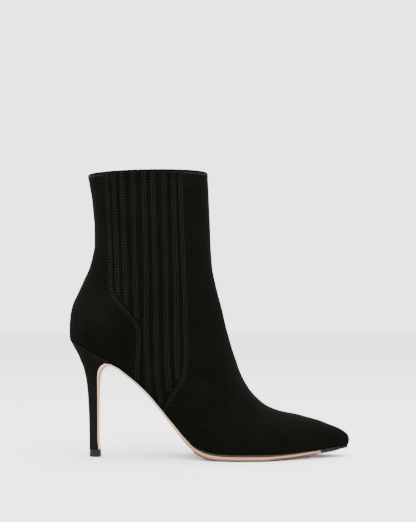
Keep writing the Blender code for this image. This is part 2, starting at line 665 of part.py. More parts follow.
def build_insole(parent):
    """Insole board inside the upper, from the seat to the toe."""
    rear = BACK_X + INSOLE_REAR_INSET + INSOLE_REAR_GAP
    front = TIP_X - INSOLE_FORE_INSET - INSOLE_FRONT_GAP
    turn = np.linspace(0.0, math.pi, INSOLE_STATIONS)
    x = rear + (front - rear) * 0.5 * (1.0 - np.cos(turn))
    rear_span = inset_span(x, INSOLE_REAR_INSET)
    fore_span = inset_span(x, INSOLE_FORE_INSET)
    blend = np.clip((x - LIFT_BLEND_X) / (RAND_START_X - LIFT_BLEND_X), 0.0, 1.0)
    span = rear_span + (fore_span - rear_span) * blend
    low = sole_top(x) + GAP * steepness(x)
    high = feather(x) + INSOLE_THICKNESS * steepness(x)
    sections = []
    for i, place in enumerate(x):
        left, right = span[0][i], span[1][i]
        sections.append(np.array([(place, left, high[i]), (place, left, low[i]),
                                  (place, right, low[i]), (place, right, high[i])]))
    points, faces = loft(sections)
    add_solid("insole", points, faces, "tan_leather_lining", parent)


def main():
    for item in list(bpy.data.objects):
        bpy.data.objects.remove(item, do_unlink=True)
    root = bpy.data.objects.new("bootie", None)
    bpy.context.scene.collection.objects.link(root)
    skin = build_upper(root)
    build_panel("gore_panel_lateral", -1.0, skin, root)
    build_panel("gore_panel_medial", 1.0, skin, root)
    build_rand(root)
    build_insole(root)
    build_outsole(root)
    build_toe_tip(root)
    build_heel(root)
    build_top_piece(root)


main()
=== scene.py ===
import json
import math
from collections import namedtuple
from functools import lru_cache
from types import SimpleNamespace

import bpy
import numpy as np
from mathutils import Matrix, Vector
from mathutils.bvhtree import BVHTree

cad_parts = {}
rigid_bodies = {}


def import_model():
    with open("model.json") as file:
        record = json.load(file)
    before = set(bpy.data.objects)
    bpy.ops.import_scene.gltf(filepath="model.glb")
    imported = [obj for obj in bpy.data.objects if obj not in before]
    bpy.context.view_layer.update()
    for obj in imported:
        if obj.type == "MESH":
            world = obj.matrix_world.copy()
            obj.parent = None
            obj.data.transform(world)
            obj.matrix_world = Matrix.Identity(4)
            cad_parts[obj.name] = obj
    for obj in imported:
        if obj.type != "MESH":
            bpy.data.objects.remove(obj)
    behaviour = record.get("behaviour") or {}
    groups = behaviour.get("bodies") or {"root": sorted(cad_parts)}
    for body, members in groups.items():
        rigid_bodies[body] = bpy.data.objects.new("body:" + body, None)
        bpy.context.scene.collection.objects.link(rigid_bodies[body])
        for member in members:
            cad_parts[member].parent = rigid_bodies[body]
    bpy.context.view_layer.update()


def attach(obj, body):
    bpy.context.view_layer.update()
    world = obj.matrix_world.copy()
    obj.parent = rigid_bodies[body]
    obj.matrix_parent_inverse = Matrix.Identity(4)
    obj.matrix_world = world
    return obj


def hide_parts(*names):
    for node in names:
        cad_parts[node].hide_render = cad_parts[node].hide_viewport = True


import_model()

# Stiletto ankle bootie, right shoe, empty on its sole. Lengths in the tables are in millimetres and
# the meshes are in metres. +X points to the toe, +Y to the inner (medial) side and +Z up.
MM = 0.001

# Driving dimensions, the same as the solids have. The collar's section and the sole's edge
# behind the ball differ a little from the solids, because that fits the photo better.
BACK_X = -112.1
TIP_X = 111.3
BALL_HALF_WIDTH = 36.6
SEAT_HALF_WIDTH = 24.3
WALL = 2.0
GAP = 0.3
SIDE_SHIFT = -0.4

# Feather edge: where the suede ends at the sole. Straight over the heel seat.
FEATHER = (
    # x, height
    (-112.1, 94.6), (-104.0, 90.73), (-96.0, 86.9), (-88.0, 83.08), (-80.0, 79.0),
    (-74.0, 74.1), (-67.0, 68.4), (-57.7, 60.7), (-48.0, 51.2), (-38.5, 39.9), (-29.0, 28.4),
    (-19.5, 17.7), (-10.0, 9.9), (-1.0, 6.8), (9.0, 5.7), (23.0, 5.4), (41.0, 5.4), (60.0, 5.7),
    (70.0, 6.1), (80.0, 6.7), (90.0, 7.4), (100.0, 8.2), (111.0, 8.8),
)

# Plan outline of the feather edge between the round seat and the round toe tip
OUTLINE = (
    # x, centre y, half width as a share of the ball's half width
    (-86.0, 0.0, 0.664), (-80.0, 0.0, 0.660), (-70.0, 0.0, 0.624), (-58.0, -0.3, 0.558),
    (-44.0, -0.8, 0.492), (-30.0, -1.2, 0.510), (-16.0, -1.5, 0.650), (-2.0, -1.6, 0.830),
    (12.0, -1.4, 0.948), (26.0, -0.8, 1.000), (40.0, -0.2, 0.992), (54.0, 0.8, 0.900),
    (66.0, 1.8, 0.757), (76.0, 2.7, 0.617), (86.0, 3.4, 0.476), (95.0, 3.9, 0.350),
    (102.0, 4.1, 0.243), (105.3, 4.2, 0.190),
)
SEAT_ROUND_X = -83.0
SEAT_ROUND_POWER = 2.0
TOE_ROUND_X = 105.3

# Sections of the upper, from the collar down the shaft and out to the toe. Each section lies in a
# plane that runs from a base point at the back or on the feather edge to a front point on the
# instep line. base_z is None on the feather edge. side is the largest half width. Round the toe
# lean, in degrees, is given instead: how far round its oval a section starts on the feather edge.
# back_round and front_round are powers of the oval's two ends, fuller below 1.
Section = namedtuple(
    "Section", "base_x base_z front_x front_z side lean back_round front_round ridge_y")
SECTIONS = [Section(*row) for row in (
    (-97.7, 225.5, -1.6, 227.65, 32.0, None, 0.95, 0.95, 0.0),
    (-95.6, 213.0, -0.9, 215.0, 31.6, None, 0.95, 0.95, 0.0),
    (-93.8, 198.0, -0.2, 201.0, 31.0, None, 0.95, 0.95, 0.0),
    (-92.5, 183.0, 0.3, 187.5, 30.4, None, 0.95, 0.95, 0.0),
    (-92.3, 170.0, 0.8, 175.5, 30.1, None, 0.94, 0.95, 0.0),
    (-93.8, 160.7, 1.1, 166.5, 30.2, None, 0.92, 0.95, 0.0),
    (-96.6, 151.0, 1.6, 158.5, 30.4, None, 0.90, 0.96, 0.0),
    (-100.8, 141.3, 2.2, 152.0, 30.6, None, 0.88, 0.97, 0.0),
    (-105.2, 131.6, 3.2, 146.5, 30.7, None, 0.86, 0.98, 0.0),
    (-109.3, 122.0, 4.4, 141.0, 30.5, None, 0.84, 0.99, 0.1),
    (-111.5, 112.3, 5.6, 136.0, 30.1, None, 0.82, 1.00, 0.2),
    (-112.3, 102.6, 6.9, 130.5, 29.5, None, 0.81, 1.01, 0.3),
    (-112.1, 94.6, 8.0, 126.2, 29.0, None, 0.80, 1.02, 0.4),
    (-111.0, None, 8.7, 123.5, 28.8, None, 0.79, 1.03, 0.5),
    (-107.0, None, 9.5, 120.2, 28.6, None, 0.76, 1.04, 0.6),
    (-100.0, None, 10.6, 116.3, 28.5, None, 0.70, 1.05, 0.7),
    (-90.0, None, 11.9, 111.0, 28.4, None, 0.61, 1.06, 0.9),
    (-80.0, None, 13.3, 105.2, 28.5, None, 0.59, 1.07, 1.2),
    (-70.0, None, 14.9, 99.0, 28.6, None, 0.71, 1.08, 1.5),
    (-60.0, None, 16.8, 92.0, 28.8, None, 0.83, 1.09, 1.9),
    (-50.0, None, 18.9, 84.6, 29.2, None, 0.89, 1.10, 2.3),
    (-41.0, None, 21.4, 77.0, 29.9, None, 0.88, 1.10, 2.7),
    (-32.0, None, 24.3, 68.6, 31.0, None, 0.89, 1.10, 3.1),
    (-22.0, None, 28.2, 60.2, 32.6, None, 0.95, 1.08, 3.5),
    (-11.0, None, 33.4, 52.4, 34.4, None, 0.94, 1.06, 3.9),
    (1.0, None, 39.4, 46.0, 36.1, None, 0.93, 1.03, 4.2),
    (14.0, None, 46.4, 40.8, 37.4, None, 0.93, 1.00, 4.5),
    (28.0, None, 54.2, 37.3, None, 74.0, 0.95, 0.98, 4.7),
    (42.0, None, 62.4, 35.2, None, 74.0, 0.95, 0.97, 4.8),
    (55.0, None, 71.0, 33.5, None, 74.0, 0.95, 0.96, 4.8),
    (67.0, None, 79.8, 31.3, None, 75.0, 0.95, 0.95, 4.7),
    (78.0, None, 88.8, 28.6, None, 77.0, 0.95, 0.95, 4.6),
    (87.0, None, 97.3, 25.4, None, 80.0, 0.95, 0.95, 4.5),
    (94.0, None, 104.6, 22.3, None, 85.0, 0.96, 0.96, 4.4),
    (99.0, None, 109.1, 19.6, None, 93.0, 0.97, 0.97, 4.3),
    (102.3, None, 111.9, 16.4, None, 106.0, 1.00, 1.00, 4.2),
    (104.3, None, 112.6, 12.4, None, 126.0, 1.00, 1.00, 4.2),
    (105.3, None, 111.3, 8.8, None, 150.0, 1.00, 1.00, 4.2),
)]
LAST_RING = 12
FIRST_LEANING = 27
# Points on a section are spread by length and by turning.
SECTION_SAMPLES = 721
LENGTH_WEIGHT = 0.7
TURN_WEIGHT = 0.3
OUTLINE_SAMPLES = 360
# The collar line is arched by the rise in the middle, fading out over some sections.
COLLAR_RISE = 0.25
COLLAR_RISE_ROWS = 3.0
# From this row to the collar is the shaft's direction there.
COLLAR_UP_ROW = 4
UPPER_ROW_STEP = 1.5
UPPER_COLUMNS = 44
RIM_START = 0.09
RIM_ANGLES = (25.0, 50.0, 75.0, 100.0, 125.0, 152.0, 180.0)
RIM_TURN_IN = (0.9, 1.8, 2.8)
FEATHER_INSET = 2.2
LINING_FOOT = 0.5
LINING_GAP = 0.1
LINING_FIRST_ROW = 2

# Seams of the side panels on the side view, from the sole up to the collar
REAR_SEAM = (
    # height, x
    (56.0, -56.6), (66.6, -56.9), (73.7, -56.6), (83.9, -55.9), (94.7, -55.5), (100.9, -55.9),
    (105.7, -57.4), (112.0, -62.0), (120.0, -68.9), (127.0, -74.4), (132.0, -76.8),
    (138.0, -77.5), (160.0, -78.1), (190.0, -79.2), (216.6, -80.3), (229.0, -80.8),
)
FRONT_SEAM = (
    # height, x
    (36.0, -36.4), (40.9, -34.6), (44.9, -32.2), (53.0, -27.4), (60.4, -22.9), (66.3, -20.1),
    (73.7, -18.9), (88.4, -18.7), (103.0, -19.1), (124.4, -19.5), (135.6, -20.0), (165.0, -20.9),
    (190.0, -21.9), (216.6, -22.8), (229.0, -23.2),
)
# Rows of double stitching down the middle of the seven strips, rear to front
STRIP_LINES = (
    # height, x of each strip's middle
    (36.0, -71.0, -65.0, -56.6, -46.2, -37.0, -29.0, -22.5),
    (52.9, -71.0, -65.0, -56.6, -47.3, -39.3, -31.2, -23.6),
    (62.7, -71.0, -65.0, -56.6, -48.0, -40.6, -32.1, -24.7),
    (73.6, -71.0, -65.0, -56.6, -48.7, -41.3, -32.8, -25.4),
    (88.5, -71.0, -65.0, -56.6, -49.3, -41.5, -33.4, -25.8),
    (103.3, -71.0, -65.0, -56.7, -49.7, -41.7, -33.7, -25.8),
    (124.5, -71.2, -65.3, -57.3, -49.5, -42.0, -34.0, -25.9),
    (135.6, -71.7, -65.5, -57.8, -49.2, -42.1, -34.0, -26.0),
    (176.0, -73.3, -66.9, -58.8, -50.1, -43.3, -34.8, -27.2),
    (216.6, -75.1, -68.3, -59.6, -51.1, -44.4, -35.7, -28.3),
    (229.0, -75.6, -68.7, -59.9, -51.4, -44.7, -36.0, -28.7),
)
STRIPS = 7
# Heights of the panel mesh's rows at its rear and front edge
PANEL_LEVELS = (
    # rear, front
    (223.5, 225.5), (203.0, 205.0), (184.0, 186.0), (165.0, 167.0), (147.0, 149.0),
    (133.6, 134.0), (125.0, 122.0), (116.0, 110.0), (107.5, 99.0), (99.0, 88.4), (90.0, 76.0),
    (80.0, 65.8), (70.0, 55.0), (60.0, 36.0),
)
PANEL_ACROSS = 176
PANEL_DOWN = 132
PANEL_CROWDING = 0.95
PANEL_MARGIN = 1.7
PANEL_FOOT = 0.5
# The top row is lifted to the collar, and the rows below it less and less.
TOP_LIFT_ROWS = 1.5
SOFTEN_ACROSS = 24
SOFTEN_DOWN = 2
# Rays start this far out. Those of the top row pass just below the collar's edge.
CAST_REACH = 100.0
CAST_DROP = 0.02
BAND_WIDTH = 2.6
POCKET_DEPTH = 0.9
POCKET_START = 0.2
POCKET_END = 2.0
SLIT_DEPTH = 0.75
SLIT_START = 0.08
SLIT_END = 0.50
STRIP_CROWN = 0.09
CROWN_START = 0.1
CROWN_END = 1.5
STRIP_LEVEL = -0.06
BAND_LEVEL = 0.02
STITCH_DIP = 0.08
STITCH_DIP_WIDTH = 0.42
RIM_RELIEF = 0.35
RIM_LIFT = 0.04
# Outside the seam the panel's margin sinks into the suede beside it.
MARGIN_SINK = 0.28
MARGIN_DEEP = -1.5
MARGIN_SHALLOW = -0.5
RELIEF_START = -1.3
RELIEF_FULL = 0.2
ROW_OFFSET = 0.95

# Stitches
STITCH_STATIONS = (
    # place along the stitch, width and lift as shares
    (-0.50, 0.45, -0.9), (-0.36, 0.85, 0.25), (0.0, 1.0, 0.6), (0.36, 0.85, 0.25),
    (0.50, 0.45, -0.9),
)
STITCH_SIDES = 6
STITCH_AIM = 0.6
HEADING_REACH = 0.4
STITCH_TOP = 225.3
STITCH_LOWEST = 30.0
ROW_FOOT = 1.6
ROW_END_GAP = 0.4
STITCH_PITCH = 2.2
STITCH_LENGTH = 0.72
STITCH_WIDTH = 0.52
STITCH_HEIGHT = 0.20
TOPLINE_DROP = 0.21
TOPLINE_PITCH = 2.2
TOPLINE_SLANT = 64.0
TOPLINE_LENGTH = 2.2
TOPLINE_WIDTH = 0.45
TOPLINE_PANEL_GAP = 1.9
TOPLINE_CAST = 5.0
SHAFT_MIDDLE_X = -50.0

# Soft troughs and ridges of the worn-in suede, drawn on the side view
Fold = namedtuple("Fold", "side line width depth")
FOLDS = (
    Fold(0.0, ((-86.0, 152.0), (-76.0, 146.0), (-66.0, 143.0)), 8.0, -0.45),
    Fold(0.0, ((-16.0, 152.0), (-4.0, 143.0), (4.0, 134.0)), 7.0, -0.40),
    Fold(0.0, ((-10.0, 120.0), (6.0, 108.0), (15.0, 98.0)), 9.0, -0.35),
    Fold(0.0, ((-12.0, 206.0), (-11.0, 186.0), (-12.0, 168.0)), 8.0, -0.35),
    Fold(0.0, ((-90.0, 206.0), (-88.0, 188.0)), 7.0, -0.30),
    Fold(-1.0, ((36.0, 13.0), (40.0, 27.0), (47.0, 38.0)), 4.0, -0.22),
    Fold(-1.0, ((48.0, 12.0), (53.0, 24.0), (59.0, 33.0)), 3.6, -0.20),
    Fold(1.0, ((30.0, 13.0), (35.0, 28.0), (43.0, 39.0)), 4.0, -0.24),
    Fold(1.0, ((42.0, 12.0), (48.0, 25.0), (55.0, 34.0)), 3.6, -0.20),
    Fold(0.0, ((-103.0, 118.0), (-98.0, 106.0)), 11.0, 0.35),
)
# A fold of one side only fades in between these distances from the middle.
SIDE_START = 2.0
SIDE_FULL = 14.0
BROAD_WAVE = 0.07
FINE_WAVE = 0.05
SOLE_FADE_START = 1.0
SOLE_FADE_END = 9.0
COLLAR_FADE_TOP = 226.0
COLLAR_FADE = 12.0

# Black rand between suede and sole round the forefoot: its height along the shoe
RAND = ((-15.0, 0.5), (-6.0, 1.0), (8.0, 1.2), (45.0, 1.2), (70.0, 0.8), (88.0, 0.5), (111.0, 0.5))
RAND_START_X = -15.0
RAND_PROUD = 0.2
RAND_WIDTH = 2.5
RAND_STEPS = 110
RAND_BULGE = 0.35
RAND_ROUND_STEPS = 9
LIFT_BLEND_X = -24.0

# Leather outsole from the toe insert to the breast of the heel and down to the top piece
SOLE_PROUD = 0.5
SOLE_BREAST_X = -71.0
SOLE_BOTTOM = (
    # x, height of the tread; flat on the floor under the ball
    (-12.0, 5.6), (-8.0, 3.6), (-4.0, 1.9), (0.0, 0.7), (5.0, 0.0), (20.0, 0.0), (31.0, 0.0),
    (42.0, 0.0), (54.0, 1.2), (64.0, 1.9), (74.0, 2.6), (81.0, 3.3), (88.0, 4.1),
)
WAIST_THICKNESS = 1.2
BALL_BACK_THICKNESS = 2.6
SOLE_STEP = 1.6
STRAIGHT_DOWN = np.array([0.0, -1.0])
BREAST = (
    # x, z, half width, thickness
    (-75.6, 73.75, 21.8, 1.3), (-78.6, 74.85, 20.4, 1.6),
    (-81.5, 75.05, 18.4, 2.2), (-84.1, 74.45, 16.2, 2.9),
    (-86.3, 72.95, 13.9, 3.2), (-88.0, 70.55, 11.8, 3.0),
    (-89.0, 67.60, 9.8, 2.5), (-89.5, 63.50, 7.8, 2.0),
    (-89.6, 56.00, 5.8, 1.55), (-89.6, 44.00, 4.6, 1.3),
    (-89.6, 28.00, 4.2, 1.1), (-89.5, 15.00, 4.2, 1.1),
    (-89.1, 9.00, 4.2, 1.1), (-88.7, 6.00, 4.3, 1.1),
)
BREAST_STEPS = 5
TURN_IN_RINGS = 4

# Side of the sole from its top corner to its tread: inset from the edge in millimetres and depth
# as a share of the thickness. The first stretches are the upper facet of the edge, painted lit,
# the next is the lower facet, painted shade, and the last ones turn in under the sole, painted
# dark as the shadow under it.
SOLE_SIDE = ((0.20, 0.0), (0.04, 0.05), (0.0, 0.14), (0.0, 0.30), (0.02, 0.40), (0.14, 0.47),
             (0.30, 0.66), (0.42, 0.84), (0.58, 0.96), (0.95, 1.0))
SOLE_PAINTED_LIT_EDGES = 5
SOLE_PAINTED_SHADE_EDGES = 6
SOLE_ACROSS = 8
# A narrow ring draws its sides in by no more than this share of its width.
SQUEEZE_SHARE = 0.25

# Rubber insert at the toe tip of the sole
TOE_TIP_REAR_X = 88.3
TOE_TIP = (
    # x, height of the tread
    (88.3, 3.9), (92.0, 4.2), (97.0, 4.7), (101.0, 5.4), (106.0, 6.5), (111.3, 7.1),
)
TOE_TIP_STATIONS = 40

# Suede covered heel: a row for each section, from the top piece to the seat
HEEL = (
    # front x, front z, back x, back z, half width, power of the round back
    (-89.0, 5.9, -96.4, 5.9, 4.7, 0.80), (-89.4, 9.0, -96.4, 9.0, 4.6, 0.80),
    (-89.8, 15.0, -96.5, 15.5, 4.5, 0.80), (-89.9, 28.0, -96.8, 30.0, 4.5, 0.80),
    (-89.9, 44.0, -97.4, 45.0, 4.9, 0.80), (-89.9, 56.0, -98.5, 57.5, 6.1, 0.80),
    (-89.8, 63.5, -99.8, 65.8, 8.2, 0.82), (-89.3, 67.75, -101.7, 72.9, 10.2, 0.84),
    (-88.25, 70.8, -103.6, 77.4, 12.2, 0.86), (-86.5, 73.25, -105.8, 82.6, 14.4, 0.88),
    (-84.25, 74.78, -107.9, 86.4, 16.7, 0.89), (-81.55, 75.4, -109.4, 89.2, 18.9, 0.90),
    (-78.5, 75.2, -110.8, 91.8, 21.0, 0.905), (-76.3, 74.5, -111.6, 93.2, 22.2, 0.91),
)
HEEL_COLUMNS = 64
HEEL_STEPS = 6
SEAT_ROUND = 0.9
SEAT_BACK_INSET = 0.1
SEAT_DROP = 0.65
SEAT_BLEND = (0.35, 0.7, 0.9)
SEAT_TUCK = ((0.25, -0.15), (0.50, 0.05), (0.75, 0.15), (0.95, 0.45), (1.6, 0.55))

# Heel top piece
TOP_PIECE_HEIGHT = 5.6
TOP_PIECE_FRONT_X = -87.3
TOP_PIECE_BACK_X = -96.3
TOP_PIECE_HALF_WIDTH = 5.0
TOP_PIECE_ROUND = 0.75
TOP_PIECE_SIDE = (
    # height, inset; the last two are the plug
    (0.0, 0.45), (0.08, 0.2), (0.35, 0.03), (0.9, 0.0), (2.6, 0.0), (2.75, 0.07), (2.9, 0.0),
    (4.9, 0.0), (5.4, 0.05), (TOP_PIECE_HEIGHT, 0.2), (TOP_PIECE_HEIGHT + 0.03, 0.4),
    (TOP_PIECE_HEIGHT + 0.4, 0.4),
)

# Insole
INSOLE_THICKNESS = 2.0
INSOLE_INSET = 2.4
INSOLE_REAR_GAP = 0.3
INSOLE_FRONT_GAP = 0.4
INSOLE_ROUND = 1.2
INSOLE_STATIONS = 150
INSOLE_ACROSS = 16
INSOLE_CROWN = 0.25

# Camera, floor and light: places in metres, lens and sensor in millimetres, and the photo's
# height and horizon in pixels
CAMERA_PLACE = (-0.0013, -0.940, 0.1135)
CAMERA_LENS = 80.74
SENSOR = 36.0
PHOTO_HEIGHT = 522.0
HORIZON_BELOW_MIDDLE = 54.0
FLOOR_RADIUS = 6.0
FLOOR_SIDES = 96
SKY_STRENGTH = 3.3
LIGHTS = (
    # name, place, target, size, power
    ("top_light", (0.0, -0.2, 1.6), (0.0, 0.0, 0.0), (1.8, 1.4), 52.0),
    ("front_light", (0.3, -1.8, 0.9), (0.0, 0.0, 0.1), (1.6, 1.0), 16.0),
)


def smooth(table, column, x):
    """Height of the smooth curve through one column of a table, without overshoot."""
    xs = np.array([row[0] for row in table], float)
    ys = np.array([row[column] for row in table], float)
    step = np.diff(xs)
    slope = np.diff(ys) / step
    tangent = np.concatenate(([slope[0]], np.zeros(len(xs) - 2), [slope[-1]]))
    for i in range(1, len(xs) - 1):
        if slope[i - 1] * slope[i] > 0.0:
            before = 2.0 * step[i] + step[i - 1]
            after = step[i] + 2.0 * step[i - 1]
            tangent[i] = (before + after) / (before / slope[i - 1] + after / slope[i])
    x = np.clip(np.asarray(x, float), xs[0], xs[-1])
    i = np.clip(np.searchsorted(xs, x, side="right") - 1, 0, len(step) - 1)
    t = (x - xs[i]) / step[i]
    rise = t * t * (3.0 - 2.0 * t)
    return ((1.0 - rise) * ys[i] + rise * ys[i + 1]
            + step[i] * (t * (1.0 - t) ** 2 * tangent[i] - t * t * (1.0 - t) * tangent[i + 1]))


def ease(value, start, end):
    """0 before start, 1 after end and a soft rise between them."""
    t = np.clip((np.asarray(value, float) - start) / (end - start), 0.0, 1.0)
    return t * t * (3.0 - 2.0 * t)


def unit(vectors):
    length = np.linalg.norm(vectors, axis=-1, keepdims=True)
    return vectors / np.maximum(length, 1e-12)


def feather(x):
    return smooth(FEATHER, 1, x)


def steepness(x, table=FEATHER):
    """Length along the feather edge, or another table's curve, for each unit of x."""
    delta = 0.5
    slope = (smooth(table, 1, x + delta) - smooth(table, 1, x - delta)) / (2.0 * delta)
    return np.sqrt(1.0 + slope ** 2)


def rand_height(x):
    return smooth(RAND, 1, x)


def sole_top(x):
    """Upper face of the outsole: below the feather edge by one gap, or by the rand and two."""
    waist = GAP * steepness(x)
    forefoot = rand_height(x) + 2.0 * GAP * steepness(x)
    blend = np.clip((np.asarray(x, float) - LIFT_BLEND_X) / (RAND_START_X - LIFT_BLEND_X), 0.0, 1.0)
    return feather(x) - (waist + (np.maximum(forefoot, waist) - waist) * blend)


def centre_line(x):
    return smooth(OUTLINE, 1, x) + SIDE_SHIFT


def half_width(x):
    """Half width of the feather edge in plan: round seat, table, round toe tip."""
    x = np.clip(np.asarray(x, float), BACK_X, TIP_X)
    seat_share = np.clip((SEAT_ROUND_X - x) / (SEAT_ROUND_X - BACK_X), 0.0, 1.0)
    seat = SEAT_HALF_WIDTH * np.sqrt(np.maximum(1.0 - seat_share ** SEAT_ROUND_POWER, 0.0))
    tip_half = OUTLINE[-1][2] * BALL_HALF_WIDTH
    tip = tip_half * np.sqrt(np.maximum(TIP_X - x, 0.0) / (TIP_X - TOE_ROUND_X))
    middle = smooth(OUTLINE, 2, x) * BALL_HALF_WIDTH
    return np.where(x < SEAT_ROUND_X, seat, np.where(x > TOE_ROUND_X, tip, middle))


def outline_side(side, start_x, end_x, count):
    """Points of one side of the feather outline, closely spaced at the round ends."""
    turn = np.linspace(0.0, math.pi, count)
    x = start_x + (end_x - start_x) * 0.5 * (1.0 - np.cos(turn))
    return np.column_stack((x, centre_line(x) + side * half_width(x)))


def quarter_turn(flat):
    """Flat vectors turned to the left by a quarter."""
    return np.column_stack((-flat[:, 1], flat[:, 0]))


def inset_span(x, inset):
    """Lateral and medial y of the feather outline, moved inwards, at each x."""
    span = []
    for side in (-1.0, 1.0):
        line = outline_side(side, BACK_X, TIP_X, OUTLINE_SAMPLES)
        line = line - inset * side * quarter_turn(unit(np.gradient(line, axis=0)))
        order = np.argsort(line[:, 0])
        span.append(np.interp(x, line[order, 0], line[order, 1]))
    return span


def numbered(rows):
    """A table whose first column is the number of the row."""
    return [(i,) + tuple(row) for i, row in enumerate(rows)]


def section_column(name, place):
    """One column of the section list at a place along it, over the rows that state it."""
    table = [(i, getattr(row, name)) for i, row in enumerate(SECTIONS)
             if getattr(row, name) is not None]
    return float(smooth(table, 1, place))


def section_at(place):
    """Section at a place along the list, with every column worked out.

    A ring is closed at the back. Past the last ring a section starts on the feather edge, and
    its lean follows from the width there, or its side from its lean.
    """
    base_x = section_column("base_x", place)
    back_round = section_column("back_round", place)
    if place <= LAST_RING:
        base_z = section_column("base_z", place)
        base_y = SIDE_SHIFT
        base_half = 0.0
    else:
        base_z = float(feather(base_x))
        base_y = float(centre_line(base_x))
        base_half = float(half_width(base_x))
    if place < FIRST_LEANING:
        side = section_column("side", place)
        ahead = place - (FIRST_LEANING - 1)
        if ahead > 0.0:
            side += ahead * (section_at(FIRST_LEANING)["side"] - side)
        lean = math.asin((base_half / side) ** (1.0 / back_round))
    else:
        lean = math.radians(section_column("lean", place))
        side = base_half / math.sin(lean) ** back_round
    return {
        "base": np.array([base_x, base_z]),
        "front": np.array([section_column("front_x", place), section_column("front_z", place)]),
        "side": side,
        "lean": lean,
        "back_round": back_round,
        "front_round": section_column("front_round", place),
        "base_y": base_y,
        "ridge_y": section_column("ridge_y", place) + SIDE_SHIFT,
        "rise": COLLAR_RISE * max(0.0, 1.0 - place / COLLAR_RISE_ROWS) ** 2,
    }


def half_section(section, count):
    """Share of the way from base to front and half width, at count + 1 places of the section.

    The places are spread by length and by turning together, so tight bends get more of them.
    """
    angle = np.linspace(section["lean"], math.pi, SECTION_SAMPLES)
    start_cos = math.cos(section["lean"])
    share = (start_cos - np.cos(angle)) / (1.0 + start_cos)
    power = np.where(angle < math.pi / 2.0, section["back_round"], section["front_round"])
    half = section["side"] * np.clip(np.sin(angle), 0.0, 1.0) ** power
    half[-1] = 0.0
    length = np.linalg.norm(section["front"] - section["base"])
    steps = np.column_stack((np.diff(share) * length, np.diff(half)))
    lengths = np.linalg.norm(steps, axis=1)
    heading = np.unwrap(np.arctan2(steps[:, 1], steps[:, 0]))
    turning = np.concatenate(([0.0], np.abs(np.diff(heading))))
    cost = LENGTH_WEIGHT * lengths / lengths.sum() + TURN_WEIGHT * turning / turning.sum()
    reached = np.concatenate(([0.0], np.cumsum(cost)))
    places = np.interp(np.linspace(0.0, reached[-1], count + 1), reached, angle)
    return np.interp(places, angle, share), np.interp(places, angle, half)


def section_points(section, columns):
    """Points of a section from the lateral base over the front to the medial base."""
    share, half = half_section(section, columns)
    plane = section["base"] + share[:, None] * (section["front"] - section["base"])
    plane[:, 1] += section["rise"] * np.sqrt(np.clip(4.0 * share * (1.0 - share), 0.0, 1.0))
    middle = section["base_y"] + share * (section["ridge_y"] - section["base_y"])
    lateral = np.column_stack((plane[:, 0], middle - half, plane[:, 1]))
    medial = np.column_stack((plane[:, 0], middle + half, plane[:, 1]))
    return np.vstack((lateral, medial[-2::-1]))


def section_places():
    """Places along the section list, about one row step apart, with the last ring among them."""
    places = [RIM_START]
    for i in range(len(SECTIONS) - 1):
        here = section_at(i)
        there = section_at(i + 1)
        reach = max(np.linalg.norm(there["base"] - here["base"]),
                    np.linalg.norm(there["front"] - here["front"]))
        count = max(1, round(reach / UPPER_ROW_STEP))
        places += [i + (k + 1.0) / count for k in range(count)]
    return [place for place in places if place >= RIM_START]


def add_object(name, data):
    """An object in the scene with the given data."""
    thing = bpy.data.objects.new(name, data)
    bpy.context.scene.collection.objects.link(thing)
    return thing


def add_piece(name, points, faces, materials, node, kinds=None, sharp=45.0):
    """One mesh piece from points in millimetres. It rides on the shoe and stands for a CAD node."""
    mesh = bpy.data.meshes.new(name)
    mesh.from_pydata((np.asarray(points, float) * MM).tolist(), [], [list(f) for f in faces])
    for material in materials:
        mesh.materials.append(material)
    if kinds is not None:
        mesh.polygons.foreach_set("material_index", np.asarray(kinds, np.int32))
    mesh.validate()
    mesh.shade_smooth()
    if sharp:
        mesh.set_sharp_from_angle(angle=math.radians(sharp))
    mesh.update()
    piece = add_object(name, mesh)
    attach(piece, "root")
    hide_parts(node)


def point_normals(points, faces):
    """Smooth outward normals at the points of a skin whose toe points along +X."""
    mesh = bpy.data.meshes.new("normals")
    mesh.from_pydata(np.asarray(points, float).tolist(), [], [list(f) for f in faces])
    mesh.update()
    normals = np.zeros(len(points) * 3)
    mesh.vertices.foreach_get("normal", normals)
    bpy.data.meshes.remove(mesh)
    normals = normals.reshape(-1, 3)
    if normals[int(np.argmax(points[:, 0])), 0] < 0.0:
        normals = -normals
    return normals


def strip_faces(first, second, closed=False):
    """Quads between two rows of point indices."""
    count = len(first) if closed else len(first) - 1
    return [(first[i], first[(i + 1) % len(first)], second[(i + 1) % len(first)], second[i])
            for i in range(count)]


def grid_faces(rows, count, closed=False):
    """Quads of a grid of points that are numbered row after row, with count points in a row."""
    faces = []
    for r in range(rows - 1):
        here = [r * count + c for c in range(count)]
        faces += strip_faces(here, [i + count for i in here], closed)
    return faces


def skin_tree(points, faces):
    return BVHTree.FromPolygons([Vector(p) for p in points], faces)


def read_off(x, known, values):
    """Columns of values that are stated at known places, read off at x."""
    return np.column_stack([np.interp(x, known, column) for column in values.T])


def run_length(line):
    """Length along a line of points up to each of them."""
    return np.concatenate(([0.0], np.cumsum(np.linalg.norm(np.diff(line, axis=0), axis=1))))


def laid_flat(vectors, normals):
    """Unit vectors turned into the surface that has these normals."""
    return unit(vectors - np.einsum("ij,ij->i", vectors, normals)[:, None] * normals)


def seam_distance(x, z):
    """Distance inside the nearer seam of the side panel, on the side view."""
    rear = (x - smooth(REAR_SEAM, 1, z)) / steepness(z, REAR_SEAM)
    front = (smooth(FRONT_SEAM, 1, z) - x) / steepness(z, FRONT_SEAM)
    return np.minimum(rear, front)


